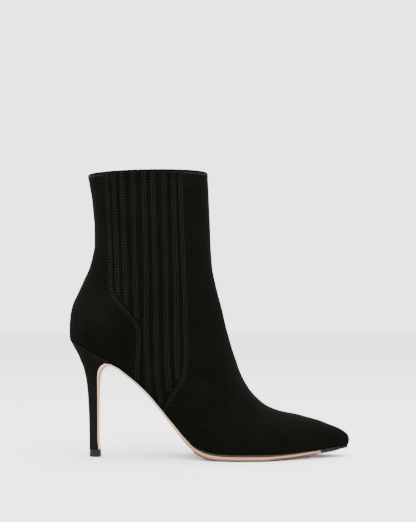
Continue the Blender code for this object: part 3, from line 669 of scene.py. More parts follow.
def line_distance(x, z, line):
    """Distance of side view points from a line of straight stretches."""
    nearest = np.full(np.shape(x), np.inf)
    for start, end in zip(line, line[1:]):
        along = np.array(end) - np.array(start)
        t = ((x - start[0]) * along[0] + (z - start[1]) * along[1]) / np.dot(along, along)
        t = np.clip(t, 0.0, 1.0)
        gap = np.hypot(x - start[0] - t * along[0], z - start[1] - t * along[1])
        nearest = np.minimum(nearest, gap)
    return nearest


def soft_relief(points):
    """Height of the suede's soft troughs, ridges and waves above the last."""
    x, y, z = points[:, 0], points[:, 1], points[:, 2]
    height = np.zeros(len(points))
    for fold in FOLDS:
        weight = 1.0 if fold.side == 0.0 else ease(fold.side * y, SIDE_START, SIDE_FULL)
        height += weight * fold.depth * np.exp(-(line_distance(x, z, fold.line) / fold.width) ** 2)
    height += BROAD_WAVE * np.sin(0.19 * x + 0.11 * z + 1.3) * np.sin(0.13 * z - 0.07 * y)
    height += FINE_WAVE * np.sin(0.31 * x - 0.23 * z + 0.4 * np.sign(y))
    near_sole = ease(z - feather(x), SOLE_FADE_START, SOLE_FADE_END)
    near_collar = ease(COLLAR_FADE_TOP - z, 0.0, COLLAR_FADE)
    return height * near_sole * near_collar


def upper_skin():
    """Skin of the upper on the last, with its rows, its collar and its feather edge."""
    points = []
    ids = []
    for place in section_places():
        line = section_points(section_at(place), UPPER_COLUMNS)
        closed = place <= LAST_RING
        first = len(points)
        points += list(line[:-1] if closed else line)
        ids.append(list(range(first, len(points))) + ([first] if closed else []))
    points = np.array(points)
    faces = []
    for upper_row, lower_row in zip(ids, ids[1:]):
        faces += strip_faces(upper_row, lower_row)
    normals = point_normals(points, faces)
    inside = ease(seam_distance(points[:, 0], points[:, 2]), POCKET_START, POCKET_END)
    collar = ids[0][:-1]
    rings = sum(1 for row in ids if row[0] == row[-1])
    edge_ids = [row[0] for row in ids[rings - 1:]] + ids[-1][1:]
    edge_ids += [row[-1] for row in ids[-2:rings - 1:-1]]
    edge = points[edge_ids][:, :2]
    return SimpleNamespace(
        points=points, ids=ids, faces=faces, normals=normals, collar=collar, edge_ids=edge_ids,
        outer=points + (soft_relief(points) - POCKET_DEPTH * inside)[:, None] * normals,
        up=unit(points[collar] - points[ids[COLLAR_UP_ROW][:-1]]),
        edge=edge,
        inward=quarter_turn(unit(np.roll(edge, -1, axis=0) - np.roll(edge, 1, axis=0))),
        tree=skin_tree(points, faces))


def rim_rows(middle, reach, out, up):
    """Rows of points over the rolled collar, from its outer side to where it turns in."""
    rows = [middle + reach * (math.cos(math.radians(a)) * out + math.sin(math.radians(a)) * up)
            for a in RIM_ANGLES]
    return rows + [middle - reach * out - drop * up for drop in RIM_TURN_IN]


def build_upper(skin):
    """Suede of the upper, with its rolled collar and its edge tucked in over the sole."""
    out = skin.normals[skin.collar]
    proud = skin.outer[skin.collar] - skin.points[skin.collar]
    radius = (0.5 * (np.einsum("ij,ij->i", proud, out) + WALL))[:, None]
    rows = rim_rows(skin.outer[skin.collar] - radius * out, radius, out, skin.up)
    rim = skin.edge + FEATHER_INSET * skin.inward
    tucked = np.column_stack((rim, feather(rim[:, 0])))
    width = len(skin.collar)
    faces = list(skin.faces)
    last = skin.collar
    for k in range(len(rows)):
        row = [len(skin.points) + k * width + c for c in range(width)]
        faces += strip_faces(row, last, closed=True)
        last = row
    tuck = [last[-1] + 1 + i for i in range(len(tucked))]
    faces += strip_faces(skin.edge_ids, tuck, closed=True)
    add_piece("upper_suede", np.vstack([skin.outer] + rows + [tucked]), faces,
              [suede_material("black_suede")], "upper")


def build_lining(skin):
    """Lining inside the upper, from just below the collar down to the insole."""
    inner = skin.points - (WALL + LINING_GAP) * skin.normals
    lift = LINING_FOOT * steepness(inner[:, 0])
    inner[:, 2] = np.maximum(inner[:, 2], feather(inner[:, 0]) + lift)
    rim = skin.edge + (FEATHER_INSET + LINING_FOOT) * skin.inward
    inner[skin.edge_ids] = np.column_stack((rim, feather(rim[:, 0]) + LINING_FOOT))
    start = skin.ids[LINING_FIRST_ROW][0]
    faces = [tuple(i - start for i in face) for face in skin.faces if min(face) >= start]
    add_piece("upper_lining", inner[start:], faces, [lining_material()],
              "upper", sharp=None)


def cast(tree, start, direction):
    """Where a ray first meets a skin, and the skin's normal there, turned to face the ray."""
    hit, normal, _, _ = tree.ray_cast(Vector(start), Vector(direction))
    if hit is None:
        return None, None
    normal = np.array(normal)
    return np.array(hit), normal if np.dot(normal, direction) < 0.0 else -normal


def side_cast(tree, x, z, side):
    """The same for a ray along Y that comes from one side of the shoe."""
    return cast(tree, (x, side * CAST_REACH, z), (0.0, -side, 0.0))


def soften(grid, axis, passes):
    """Evens out a grid of heights along one axis. Its ends stay."""
    grid = np.moveaxis(grid.copy(), axis, 0)
    for _ in range(passes):
        grid[1:-1] = 0.5 * grid[1:-1] + 0.25 * (grid[:-2] + grid[2:])
    return np.moveaxis(grid, 0, axis)


def strip_relief(x, z):
    """Height of the panel's strips, slits and edge bands above the last."""
    seam = seam_distance(x, z)
    lines = [smooth(STRIP_LINES, k + 1, z) for k in range(STRIPS)]
    slit = np.min([np.abs(x - 0.5 * (a + b)) for a, b in zip(lines, lines[1:])], axis=0)
    row = np.min([np.abs(np.abs(x - line) - ROW_OFFSET) for line in lines], axis=0)
    on_strip = seam > BAND_WIDTH
    gap = np.abs(seam - BAND_WIDTH)
    gap = np.where(on_strip, np.minimum(slit, gap), gap)
    row = np.where(on_strip, row, np.abs(np.abs(seam) - ROW_OFFSET))
    edge_drop = SLIT_DEPTH * (1.0 - ease(gap, SLIT_START, SLIT_END))
    stitch_dip = STITCH_DIP * np.exp(-(row / STITCH_DIP_WIDTH) ** 2)
    crown = STRIP_CROWN * ease(gap, CROWN_START, CROWN_END)
    height = np.where(on_strip, STRIP_LEVEL, BAND_LEVEL) + crown - edge_drop - stitch_dip
    sink = 1.0 - ease(seam, MARGIN_DEEP, MARGIN_SHALLOW)
    return height * ease(seam, RELIEF_START, RELIEF_FULL) - MARGIN_SINK * sink


def panel_grid(side, skin, ring):
    """Grid of points on the last under one side panel, from the collar down to the sole."""
    collar = skin.points[skin.collar][ring]
    table = numbered(PANEL_LEVELS)
    share = np.linspace(0.0, 1.0, PANEL_ACROSS + 1)
    places = np.linspace(0.0, 1.0, PANEL_DOWN + 1) ** PANEL_CROWDING * (len(PANEL_LEVELS) - 1)
    rear_z = smooth(table, 1, places)[:, None]
    front_z = smooth(table, 2, places)[:, None]
    rear_x = smooth(REAR_SEAM, 1, rear_z) - PANEL_MARGIN
    front_x = smooth(FRONT_SEAM, 1, front_z) + PANEL_MARGIN
    x = rear_x + share * (front_x - rear_x)
    z = rear_z + share * (front_z - rear_z)
    top_lift = np.interp(x[0], collar[:, 0], collar[:, 2]) - z[0]
    z = z + top_lift * ease(1.0 - places / TOP_LIFT_ROWS, 0.0, 1.0)[:, None]
    z = np.maximum(z, feather(x) + PANEL_FOOT * steepness(x))
    y = np.zeros(x.shape)
    for r, c in np.ndindex(x.shape):
        hit, _ = side_cast(skin.tree, x[r, c], z[r, c] - (CAST_DROP if r == 0 else 0.0), side)
        y[r, c] = hit[1]
    y[0] = np.interp(x[0], collar[:, 0], collar[:, 1])
    y = soften(soften(y, 1, SOFTEN_ACROSS), 0, SOFTEN_DOWN)
    return np.stack((x, y, z), axis=-1)


def build_panel(name, side, skin, node):
    """Seven stitched strips with dark slits between them, and the edge bands beside them."""
    collar_x = skin.points[skin.collar][:, 0]
    half = len(collar_x) // 2
    ring = range(half + 1) if side < 0.0 else list(range(half, len(collar_x))) + [0]
    ring = sorted(ring, key=lambda i: collar_x[i])
    grid = panel_grid(side, skin, ring)
    normal = unit(np.cross(np.gradient(grid, axis=1), np.gradient(grid, axis=0)))
    normal *= np.sign(normal[:, :, 1:2]) * side
    height = strip_relief(grid[:, :, 0], grid[:, :, 2])
    relief = soft_relief(grid.reshape(-1, 3)).reshape(height.shape)
    surface = grid + (height + relief)[:, :, None] * normal

    out = unit(read_off(grid[0, :, 0], collar_x[ring], skin.normals[skin.collar][ring]))
    up = unit(read_off(grid[0, :, 0], collar_x[ring], skin.up[ring]))
    radius = 0.5 * WALL
    reach = (radius + RIM_RELIEF * height[0] + RIM_LIFT)[:, None]
    rows = rim_rows(grid[0] - radius * out, reach, out, up)
    surface = np.vstack((np.array(rows[::-1]), surface))
    points = surface.reshape(-1, 3)
    faces = grid_faces(len(surface), PANEL_ACROSS + 1)
    add_piece(name, points, faces, [suede_material("black_suede_panel")],
              node, sharp=None)
    return points, faces


def sew(name, centres, along, normals, size, node):
    """One piece of many small stitches, each a low oval bead of the same length and width."""
    length, width = size
    across = unit(np.cross(normals, along))
    bead = []
    for position, swell, lift in STITCH_STATIONS:
        for angle in np.linspace(0.0, 2.0 * math.pi, STITCH_SIDES, endpoint=False):
            bead.append(position * length * along
                        + swell * 0.5 * width * math.cos(angle) * across
                        + STITCH_HEIGHT * (swell * math.sin(angle) + lift) * normals)
    points = (centres[:, None, :] + np.stack(bead, axis=1)).reshape(-1, 3)
    base = grid_faces(len(STITCH_STATIONS), STITCH_SIDES, closed=True)
    faces = [tuple(i + n * len(bead) for i in face) for n in range(len(centres)) for face in base]
    add_piece(name, points, faces, [thread_material()], node, sharp=None)


def spaced(line, pitch):
    """Points one pitch apart along a side view line, with the direction there."""
    length = run_length(line)
    reached = np.arange(0.5 * pitch, length[-1], pitch)
    ahead = read_off(reached + HEADING_REACH, length, line)
    behind = read_off(reached - HEADING_REACH, length, line)
    return read_off(reached, length, line), unit(ahead - behind)


def seam_line(table, column):
    """Side view line of one column of a table, from the collar down."""
    z = np.arange(STITCH_TOP, STITCH_LOWEST, -0.5)
    return np.column_stack((smooth(table, column, z), z))


def panel_lines():
    """Middles of the double rows: along both seams, and down each strip to its end."""
    lines = []
    for table in (REAR_SEAM, FRONT_SEAM):
        line = seam_line(table, 1)
        lines.append(line[line[:, 1] > feather(line[:, 0]) + ROW_FOOT])
    for k in range(STRIPS):
        line = seam_line(STRIP_LINES, k + 1)
        keep = seam_distance(line[:, 0], line[:, 1]) > BAND_WIDTH + ROW_END_GAP
        keep &= line[:, 1] > feather(line[:, 0]) + ROW_FOOT
        lines.append(line if keep.all() else line[:int(np.argmin(keep))])
    return lines


def build_panel_stitches(name, side, tree, node):
    """Double rows of stitches on one side panel and along its seams."""
    stitches = []
    for line in panel_lines():
        offset = quarter_turn(unit(np.gradient(line, axis=0)))
        for shift in (-ROW_OFFSET, ROW_OFFSET):
            for place, along in zip(*spaced(line + shift * offset, STITCH_PITCH)):
                hit, normal = side_cast(tree, *place, side)
                ahead, _ = side_cast(tree, *(place + STITCH_AIM * along), side)
                if hit is not None and ahead is not None:
                    stitches.append((hit, ahead - hit, normal))
    centres, along, normals = np.array(stitches).transpose(1, 0, 2)
    normals = unit(normals)
    sew(name, centres, laid_flat(along, normals), normals, (STITCH_LENGTH, STITCH_WIDTH),
        node)


def build_topline_stitches(tree):
    """One slanted row below the collar, on the plain suede between the side panels."""
    ring = section_points(section_at(TOPLINE_DROP), 4 * UPPER_COLUMNS)
    loop = np.vstack((ring[:-1], ring[:1]))
    length = run_length(loop)
    count = int(length[-1] / TOPLINE_PITCH)
    reached = (np.arange(count) + 0.5) * length[-1] / count
    places = read_off(reached, length, loop)
    tangent = unit(read_off((reached + 0.5) % length[-1], length, loop) - places)
    keep = seam_distance(places[:, 0], places[:, 2]) < -TOPLINE_PANEL_GAP
    places = places[keep]
    out = unit(np.cross(tangent[keep], (0.0, 0.0, 1.0)))
    from_middle = (places - (SHAFT_MIDDLE_X, SIDE_SHIFT, 0.0)) * (1.0, 1.0, 0.0)
    out *= np.sign(np.einsum("ij,ij->i", out, from_middle))[:, None]
    hits = [cast(tree, place + TOPLINE_CAST * away, -away) for place, away in zip(places, out)]
    kept = [i for i, (hit, _) in enumerate(hits) if hit is not None]
    normals = unit(np.array([hits[i][1] for i in kept]))
    tangent = laid_flat(tangent[keep][kept], normals)
    up = np.cross(normals, tangent)
    up *= np.sign(up[:, 2:3])
    slant = math.radians(TOPLINE_SLANT)
    along = math.cos(slant) * tangent * np.sign(tangent[:, 0:1]) + math.sin(slant) * up
    sew("topline_stitches", np.array([hits[i][0] for i in kept]), along, normals,
        (TOPLINE_LENGTH, TOPLINE_WIDTH), "upper")


def profile_sweep(rings):
    """Points and faces of a closed body swept through closed rings of points, with flat ends."""
    count = len(rings[0])
    faces = grid_faces(len(rings), count, closed=True)
    faces.append(tuple(range(count)))
    faces.append(tuple((len(rings) - 1) * count + i for i in reversed(range(count))))
    return np.vstack(rings), faces


def sole_ring(top, down, middle, half, thickness):
    """Closed ring of the sole: lateral side down, across the tread and up the medial side."""
    low_y, high_y = middle - half, middle + half
    squeeze = min(1.0, SQUEEZE_SHARE * (high_y - low_y) / SOLE_SIDE[-1][0])
    low = [(low_y + inset * squeeze, depth) for inset, depth in SOLE_SIDE]
    high = [(high_y - inset * squeeze, depth) for inset, depth in reversed(SOLE_SIDE)]
    between = [(low[-1][0] + (high[0][0] - low[-1][0]) * k / SOLE_ACROSS, 1.0)
               for k in range(1, SOLE_ACROSS)]
    ring = []
    for y, depth in low + between + high:
        point = top + down * thickness * depth
        ring.append((point[0], y, point[1]))
    return np.array(ring)


def tread_ring(x, tread):
    """Ring of the sole at one place along the shoe, straight down to its tread."""
    top = np.array([x, float(sole_top(x))])
    half = float(half_width(x)) + SOLE_PROUD
    thickness = top[1] - float(smooth(tread, 1, x))
    return sole_ring(top, STRAIGHT_DOWN, float(centre_line(x)), half, thickness)


def sole_face_kind(i):
    """1 for the upper facet of the edge, painted lit, 2 for the lower one, painted shade, 3 for the
    corner, painted as the shadow under the sole, 0 elsewhere.
    """
    from_edge = min(i, 2 * len(SOLE_SIDE) + SOLE_ACROSS - 3 - i)
    for kind, edges in ((1, SOLE_PAINTED_LIT_EDGES), (2, SOLE_PAINTED_SHADE_EDGES), (3, len(SOLE_SIDE) - 1)):
        if 0 <= from_edge < edges:
            return kind
    return 0


def build_outsole():
    """Leather sole: forefoot, waist and the flap down the breast of the heel."""
    forefoot_end, end_height = SOLE_BOTTOM[0]
    forefoot = np.arange(SOLE_BOTTOM[-1][0], forefoot_end, -SOLE_STEP)
    rings = [tread_ring(x, SOLE_BOTTOM) for x in forefoot]
    waist = np.append(np.arange(forefoot_end, SOLE_BREAST_X, -SOLE_STEP), SOLE_BREAST_X)
    path = [(x, float(sole_top(x)), float(half_width(x)) + SOLE_PROUD, WAIST_THICKNESS)
            for x in waist]
    breast = numbered([path.pop()] + list(BREAST))
    for place in np.linspace(0.0, len(BREAST), len(BREAST) * BREAST_STEPS + 1):
        path.append([float(smooth(breast, c, place)) for c in (1, 2, 3, 4)])
    path = np.array(path)
    down = quarter_turn(unit(np.gradient(path[:, :2], axis=0)))
    turn_in = ease(np.arange(len(path)), 0, TURN_IN_RINGS)
    for i, (x, z, half, thick) in enumerate(path):
        ahead = (x - SOLE_BREAST_X) / (forefoot_end - SOLE_BREAST_X)
        if i == 0:
            thick = z - end_height
        elif ahead > 0.0:
            thick += (BALL_BACK_THICKNESS - WAIST_THICKNESS) * ahead ** 3
        away = unit((1.0 - turn_in[i]) * STRAIGHT_DOWN + turn_in[i] * down[i])
        rings.append(sole_ring(path[i, :2], away, float(centre_line(x)), half, thick))
    points, faces = profile_sweep(rings)
    kinds = [sole_face_kind(i % len(rings[0])) for i in range(len(faces) - 2)] + [0, 0]
    materials = [sole_leather_material()]
    materials += [edge_material(name, waist, ball) for name, waist, ball in EDGE_COLOURS]
    add_piece("sole_leather", points, faces, materials, "outsole", kinds)


def build_toe_insert():
    """Rubber insert that carries on the sole under the point of the toe."""
    turn = np.linspace(-math.pi / 2.0, 0.0, TOE_TIP_STATIONS)[:-1]
    places = TOE_TIP_REAR_X + (TIP_X - TOE_TIP_REAR_X) * np.cos(turn)
    points, faces = profile_sweep([tread_ring(x, TOE_TIP) for x in places])
    add_piece("toe_insert", points, faces, [toe_rubber_material()], "toe_tip")


def rand_span(x):
    """Lower height of the rand and how tall it is."""
    return float(sole_top(x) + GAP * steepness(x)), float(rand_height(x))


def build_rand():
    """Thin lacquered strip round the forefoot, with a rounded outer edge."""
    turn = np.linspace(-math.pi / 2.0, 0.0, RAND_STEPS)
    x = RAND_START_X + (TIP_X - RAND_START_X) * np.cos(turn)
    lateral = np.column_stack((x, centre_line(x) - half_width(x)))
    medial = np.column_stack((x, centre_line(x) + half_width(x)))[-2::-1]
    line = np.vstack((lateral, medial))
    inward = quarter_turn(unit(np.gradient(line, axis=0)))
    rings = []
    for here, into in zip(line, inward):
        low, tall = rand_span(here[0])
        ring = []
        for a in np.linspace(0.0, math.pi, RAND_ROUND_STEPS):
            place = here + (RAND_BULGE * (1.0 - math.sin(a)) - RAND_PROUD) * into
            ring.append((place[0], place[1], low + 0.5 * (1.0 - math.cos(a)) * tall))
        inner = here + (RAND_WIDTH - RAND_PROUD) * into
        low, tall = rand_span(inner[0])
        ring += [(inner[0], inner[1], low + tall), (inner[0], inner[1], low)]
        rings.append(np.array(ring))
    points, faces = profile_sweep(rings)
    add_piece("rand_lacquer", points, faces, [lacquer_material()], "rand")


def heel_ring(front, back, half, power):
    """D-shaped ring: flat breast in front, round behind."""
    turn = np.linspace(0.0, math.pi, HEEL_COLUMNS + 1)
    reach = np.clip(np.sin(turn), 0.0, 1.0) ** power
    plane = np.array(front) + reach[:, None] * (np.array(back) - np.array(front))
    y = SIDE_SHIFT - half * np.cos(turn)
    return np.column_stack((plane[:, 0], y, plane[:, 1]))


def seat_line():
    """Line round the seat of the heel, just under the upper."""
    front = HEEL[-1][0]
    turn = np.linspace(0.0, math.pi, HEEL_COLUMNS + 1)
    back = BACK_X + SEAT_BACK_INSET
    x = front + (back - front) * np.clip(np.sin(turn), 0.0, 1.0) ** SEAT_ROUND
    y = SIDE_SHIFT - np.sign(np.cos(turn)) * half_width(x)
    y[HEEL_COLUMNS // 2] = SIDE_SHIFT
    return np.column_stack((x, y, feather(x) - SEAT_DROP * steepness(x)))


def build_heel():
    """Suede covered stiletto heel up to the seat of the upper, with a tuck in the joint painted
    near-black as its shadow.
    """
    table = numbered(HEEL)
    rings = []
    for place in np.linspace(0.0, len(HEEL) - 1.0, (len(HEEL) - 1) * HEEL_STEPS + 1):
        front_x, front_z, back_x, back_z, half, power = (
            float(smooth(table, c, place)) for c in range(1, 7))
        rings.append(heel_ring((front_x, front_z), (back_x, back_z), half, power))
    seat = seat_line()
    below = rings[-1]
    rings += [below + share * (seat - below) for share in SEAT_BLEND]
    inward = unit((seat.mean(axis=0) - seat) * (1.0, 1.0, 0.0))
    for inset, rise in SEAT_TUCK:
        ring = seat + inset * inward
        ring[:, 2] = feather(ring[:, 0]) - GAP * steepness(ring[:, 0]) + rise
        rings.append(ring)
    points, faces = profile_sweep(rings)
    # The rings of the tuck take the painted seam shadow.
    suede_count = (len(rings) - 1 - len(SEAT_TUCK)) * len(seat)
    kinds = [0] * suede_count + [1] * (len(faces) - 2 - suede_count) + [0, 0]
    # A lighter copy of the suede, with painted light on the stem.
    suede = suede_material("heel_suede", HEEL_PAINTED_LIGHT_MARKS, HEEL_PAINTED_LIT_TONE)
    add_piece("heel_cover", points, faces, [suede, seam_shadow_material()], "heel",
              kinds, sharp=50.0)


def build_top_piece():
    """Rubber top piece under the heel, with softly broken edges and a plug up into the heel."""
    rings = []
    for height, inset in TOP_PIECE_SIDE:
        front = (TOP_PIECE_FRONT_X - inset, height)
        back = (TOP_PIECE_BACK_X + inset, height)
        rings.append(heel_ring(front, back, TOP_PIECE_HALF_WIDTH - inset, TOP_PIECE_ROUND))
    points, faces = profile_sweep(rings)
    add_piece("top_lift", points, faces, [heel_rubber_material()],
              "top_piece", sharp=50.0)


def build_insole():
    """Insole board and its sock inside the upper, from the seat to the toe."""
    rear = BACK_X + INSOLE_INSET + INSOLE_REAR_GAP
    front = TIP_X - INSOLE_INSET - INSOLE_FRONT_GAP
    turn = np.linspace(0.0, math.pi, INSOLE_STATIONS)
    x = rear + (front - rear) * 0.5 * (1.0 - np.cos(turn))
    low = sole_top(x) + GAP * steepness(x)
    high = feather(x) + INSOLE_THICKNESS * steepness(x)
    across = np.linspace(0.0, 1.0, INSOLE_ACROSS + 1)
    rings = []
    for place, left, right, foot, top in zip(x, *inset_span(x, INSOLE_INSET), low, high):
        edge = np.minimum(across, 1.0 - across) * (right - left)
        crown = -INSOLE_CROWN * np.sqrt(np.clip(1.0 - edge / INSOLE_ROUND, 0.0, 1.0))
        y = left + across * (right - left)
        upper_line = np.column_stack((np.full(len(y), place), y, top + crown))
        rings.append(np.vstack((upper_line, (place, right, foot), (place, left, foot))))
    points, faces = profile_sweep(rings)
    add_piece("insole_sock", points, faces, [lining_material()], "insole")


class Nodes:
    """Small helper that adds shader nodes to one material. Sizes are in millimetres."""

    def __init__(self, name):
        self.material = bpy.data.materials.new(name)
        self.material.use_nodes = True
        self.tree = self.material.node_tree
        self.shader = self.tree.nodes["Principled BSDF"]
        self.place = self.tree.nodes.new("ShaderNodeTexCoord").outputs["Object"]

    def fill(self, socket, value):
        """Sets one input, or links another node's output to it."""
        if isinstance(value, bpy.types.NodeSocket):
            self.tree.links.new(value, socket)
        else:
            socket.default_value = value

    def fill_named(self, node, inputs):
        for name, value in inputs.items():
            self.fill(node.inputs[name.replace("_", " ")], value)

    def add(self, kind, output, **inputs):
        """One more node with some of its inputs filled. Gives one of its outputs back."""
        node = self.tree.nodes.new(kind)
        self.fill_named(node, inputs)
        return node.outputs[output]

    def stretched(self, scale):
        return self.add("ShaderNodeMapping", "Vector", Vector=self.place, Scale=scale)

    def noise(self, size, detail=3.0, place=None):
        """Noise whose patches are about one size across."""
        return self.add("ShaderNodeTexNoise", "Fac", Vector=place or self.place,
                        Scale=1.0 / (size * MM), Detail=detail, Roughness=0.55)

    def cells(self, size):
        return self.add("ShaderNodeTexVoronoi", "Distance", Vector=self.place,
                        Scale=1.0 / (size * MM))

    def maths(self, operation, first, second):
        node = self.tree.nodes.new("ShaderNodeMath")
        node.operation = operation
        self.fill(node.inputs[0], first)
        self.fill(node.inputs[1], second)
        return node.outputs["Value"]

    def span(self, value, low=0.3, high=0.7, to_low=0.0, to_high=1.0):
        node = self.tree.nodes.new("ShaderNodeMapRange")
        node.interpolation_type = "SMOOTHSTEP"
        self.fill_named(node, {"Value": value, "From Min": low, "From Max": high,
                               "To Min": to_low, "To Max": to_high})
        return node.outputs["Result"]

    def spot(self, mark):
        """1 at a marked place on the side view and 0 one radius away from it."""
        centre = (mark.x, 0.0, mark.z)
        shift = self.add("ShaderNodeMapping", "Vector", Vector=self.place, Scale=mark.squash,
                         Location=[-c * MM * s for c, s in zip(centre, mark.squash)])
        node = self.tree.nodes.new("ShaderNodeVectorMath")
        node.operation = "LENGTH"
        self.fill(node.inputs[0], shift)
        return self.span(node.outputs["Value"], 0.0, mark.radius * MM, 1.0, 0.0)

    def along(self, start, end):
        """0 behind one place along the shoe and 1 ahead of another."""
        x = self.add("ShaderNodeSeparateXYZ", "X", Vector=self.place)
        return self.span(x, start * MM, end * MM)

    def blend(self, factor, first, second):
        """Mixes two colours, each three numbers or another node's output."""
        node = self.tree.nodes.new("ShaderNodeMix")
        node.data_type = "RGBA"
        self.fill(node.inputs[0], factor)
        for socket, colour in ((node.inputs[6], first), (node.inputs[7], second)):
            self.fill(socket, colour + (1.0,) if isinstance(colour, tuple) else colour)
        return node.outputs[2]

    def finish(self, *bumps, **inputs):
        """Fills the shader, with bumps of (height, strength, distance), the broadest first."""
        normal = {}
        for height, strength, distance in bumps:
            normal["Normal"] = self.add("ShaderNodeBump", "Normal", Strength=strength,
                                        Distance=distance * MM, Height=height, **normal)
        self.fill_named(self.shader, {**inputs, **normal})
        return self.material


# Places on the side view where the suede is lighter or darker, and three faint scuffs. The broad
# light patch round the counter is painted sheen.
Mark = namedtuple("Mark", "x z radius strength squash", defaults=((1.0, 0.0, 1.0),))
UPPER_SHEEN_AND_SCUFF_MARKS = (
    Mark(-94.0, 120.0, 34.0, 0.50), Mark(-70.0, 86.0, 16.0, -0.14),
    Mark(-2.5, 27.5, 4.0, 0.30, (0.5, 0.0, 1.6)), Mark(-1.5, 13.0, 3.5, 0.25, (0.6, 0.0, 1.8)),
    Mark(5.5, 10.8, 3.5, 0.25, (0.6, 0.0, 1.8)), Mark(-19.0, 221.0, 10.0, 0.40, (1.0, 0.0, 0.8)),
    Mark(-84.0, 222.0, 8.0, 0.30, (0.9, 0.0, 1.2)),
)
UPPER_LIGHT = (0.0031, 0.0033, 0.0024)
# The heel's suede is painted lighter than the upper's, most on the stem, for the light it gets from
# the floor.
HEEL_PAINTED_LIGHT_MARKS = (Mark(-94.0, 24.0, 62.0, 0.70),)
HEEL_PAINTED_LIT_TONE = (0.0050, 0.0052, 0.0040)
SUEDE_DARK = (0.0010, 0.0011, 0.0007)


@lru_cache
def suede_material(name, light_and_scuff_marks=UPPER_SHEEN_AND_SCUFF_MARKS, light=UPPER_LIGHT):
    """Black suede: a dry nap that lies in patches, lighter where it is brushed up."""
    nodes = Nodes(name + "_nap")
    patches = nodes.noise(26.0, 2.0)
    brushed = nodes.noise(7.0, place=nodes.stretched((1.0, 1.0, 0.45)))
    nap = nodes.noise(0.9)
    fibres = nodes.noise(0.22, 2.0)
    shade = nodes.maths("ADD", nodes.span(patches, 0.35, 0.65, 0.0, 0.12),
                        nodes.span(brushed, 0.35, 0.68, 0.0, 0.16))
    shade = nodes.maths("ADD", shade, nodes.span(nap, 0.3, 0.7, 0.03, 0.36))
    # Spots of painted sheen and painted light are added to the shade here, besides the real scuffs.
    for mark in light_and_scuff_marks:
        spot = nodes.maths("MULTIPLY", nodes.spot(mark), mark.strength)
        shade = nodes.maths("ADD", shade, spot)
    return nodes.finish(
        (brushed, 0.25, 0.35), (nap, 0.45, 0.14), (fibres, 0.5, 0.06),
        Base_Color=nodes.blend(shade, SUEDE_DARK, light),
        Roughness=nodes.span(nap, 0.2, 0.8, 0.86, 0.98), Specular_IOR_Level=0.015,
        Sheen_Weight=0.007, Sheen_Roughness=0.45, Sheen_Tint=(0.55, 0.56, 0.50, 1.0))


def seam_shadow_material():
    """Near-black painted shadow in the joint between heel and seat, on the tucked suede there."""
    nodes = Nodes("painted_seam_shadow")
    nap = nodes.noise(0.6, 2.0)
    return nodes.finish(
        (nap, 0.3, 0.05),
        Base_Color=nodes.blend(nap, (0.0001, 0.0001, 0.0001), (0.0004, 0.0004, 0.0004)),
        Roughness=1.0, Specular_IOR_Level=0.0)


@lru_cache
def thread_material():
    """Dull dark grey sewing thread."""
    nodes = Nodes("dark_thread")
    twist = nodes.noise(0.18, 2.0)
    base = nodes.blend(nodes.span(twist), (0.0115, 0.0115, 0.011), (0.030, 0.030, 0.029))
    return nodes.finish(
        (twist, 0.4, 0.05), Base_Color=base, Roughness=0.7, Specular_IOR_Level=0.15)


@lru_cache
def lining_material():
    """Smooth tan lining leather with fine pores."""
    nodes = Nodes("tan_lining_grain")
    tone = nodes.noise(14.0)
    return nodes.finish(
        (nodes.cells(0.7), 0.30, 0.05), (nodes.noise(1.8, 2.0), 0.15, 0.10),
        Base_Color=nodes.blend(nodes.span(tone), (0.30, 0.175, 0.10), (0.40, 0.245, 0.15)),
        Roughness=nodes.span(tone, to_low=0.52, to_high=0.66))


def sole_leather_material():
    """Nude sole leather with a faint grain and slightly uneven wax."""
    nodes = Nodes("nude_sole_grain")
    tone = nodes.noise(22.0, 4.0)
    return nodes.finish(
        (tone, 0.1, 0.2), (nodes.noise(0.5), 0.3, 0.03),
        Base_Color=nodes.blend(nodes.span(tone), (0.33, 0.19, 0.115), (0.42, 0.25, 0.16)),
        Roughness=nodes.span(tone, to_low=0.34, to_high=0.48), Coat_Weight=0.15, Coat_Roughness=0.3)


# Facets of the sole's edge: a painted lit and a painted shade copy of one leather, and the corner
# that turns in under the sole painted dark as its shadow, near black at the ball. They are pale up
# to the waist, painted light where that edge faces the sky, and warmer from the ball on.
EDGE_COLOURS = (
    # name, colour along the waist, colour at the ball
    ("nude_edge_painted_lit", (0.62, 0.38, 0.235), (0.33, 0.145, 0.064)),
    ("nude_edge_painted_shade", (0.26, 0.135, 0.072), (0.13, 0.058, 0.028)),
    ("nude_edge_painted_tread_shadow", (0.26, 0.135, 0.072), (0.009, 0.006, 0.0045)),
)
EDGE_PALE_X = -42.0
EDGE_WARM_X = -8.0
EDGE_STREAK = 0.88


def edge_material(name, waist, ball):
    """Waxed edge of the sole leather in the painted tone of one facet, paler along the waist as
    painted light, with faint streaks along it.
    """
    nodes = Nodes(name)
    streaks = nodes.noise(1.0, place=nodes.stretched((0.12, 0.12, 1.0)))
    # Blends from the waist, painted paler as light, to the warmer ball, where the corner is painted
    # near black as shadow.
    ahead = nodes.along(EDGE_PALE_X, EDGE_WARM_X)
    darker = nodes.blend(ahead, tuple(EDGE_STREAK * channel for channel in waist),
                         tuple(EDGE_STREAK * channel for channel in ball))
    base = nodes.blend(nodes.span(streaks, 0.35, 0.7), darker, nodes.blend(ahead, waist, ball))
    return nodes.finish(
        (streaks, 0.2, 0.04), Base_Color=base,
        Roughness=nodes.span(streaks, to_low=0.36, to_high=0.5), Coat_Weight=0.1,
        Coat_Roughness=0.25)


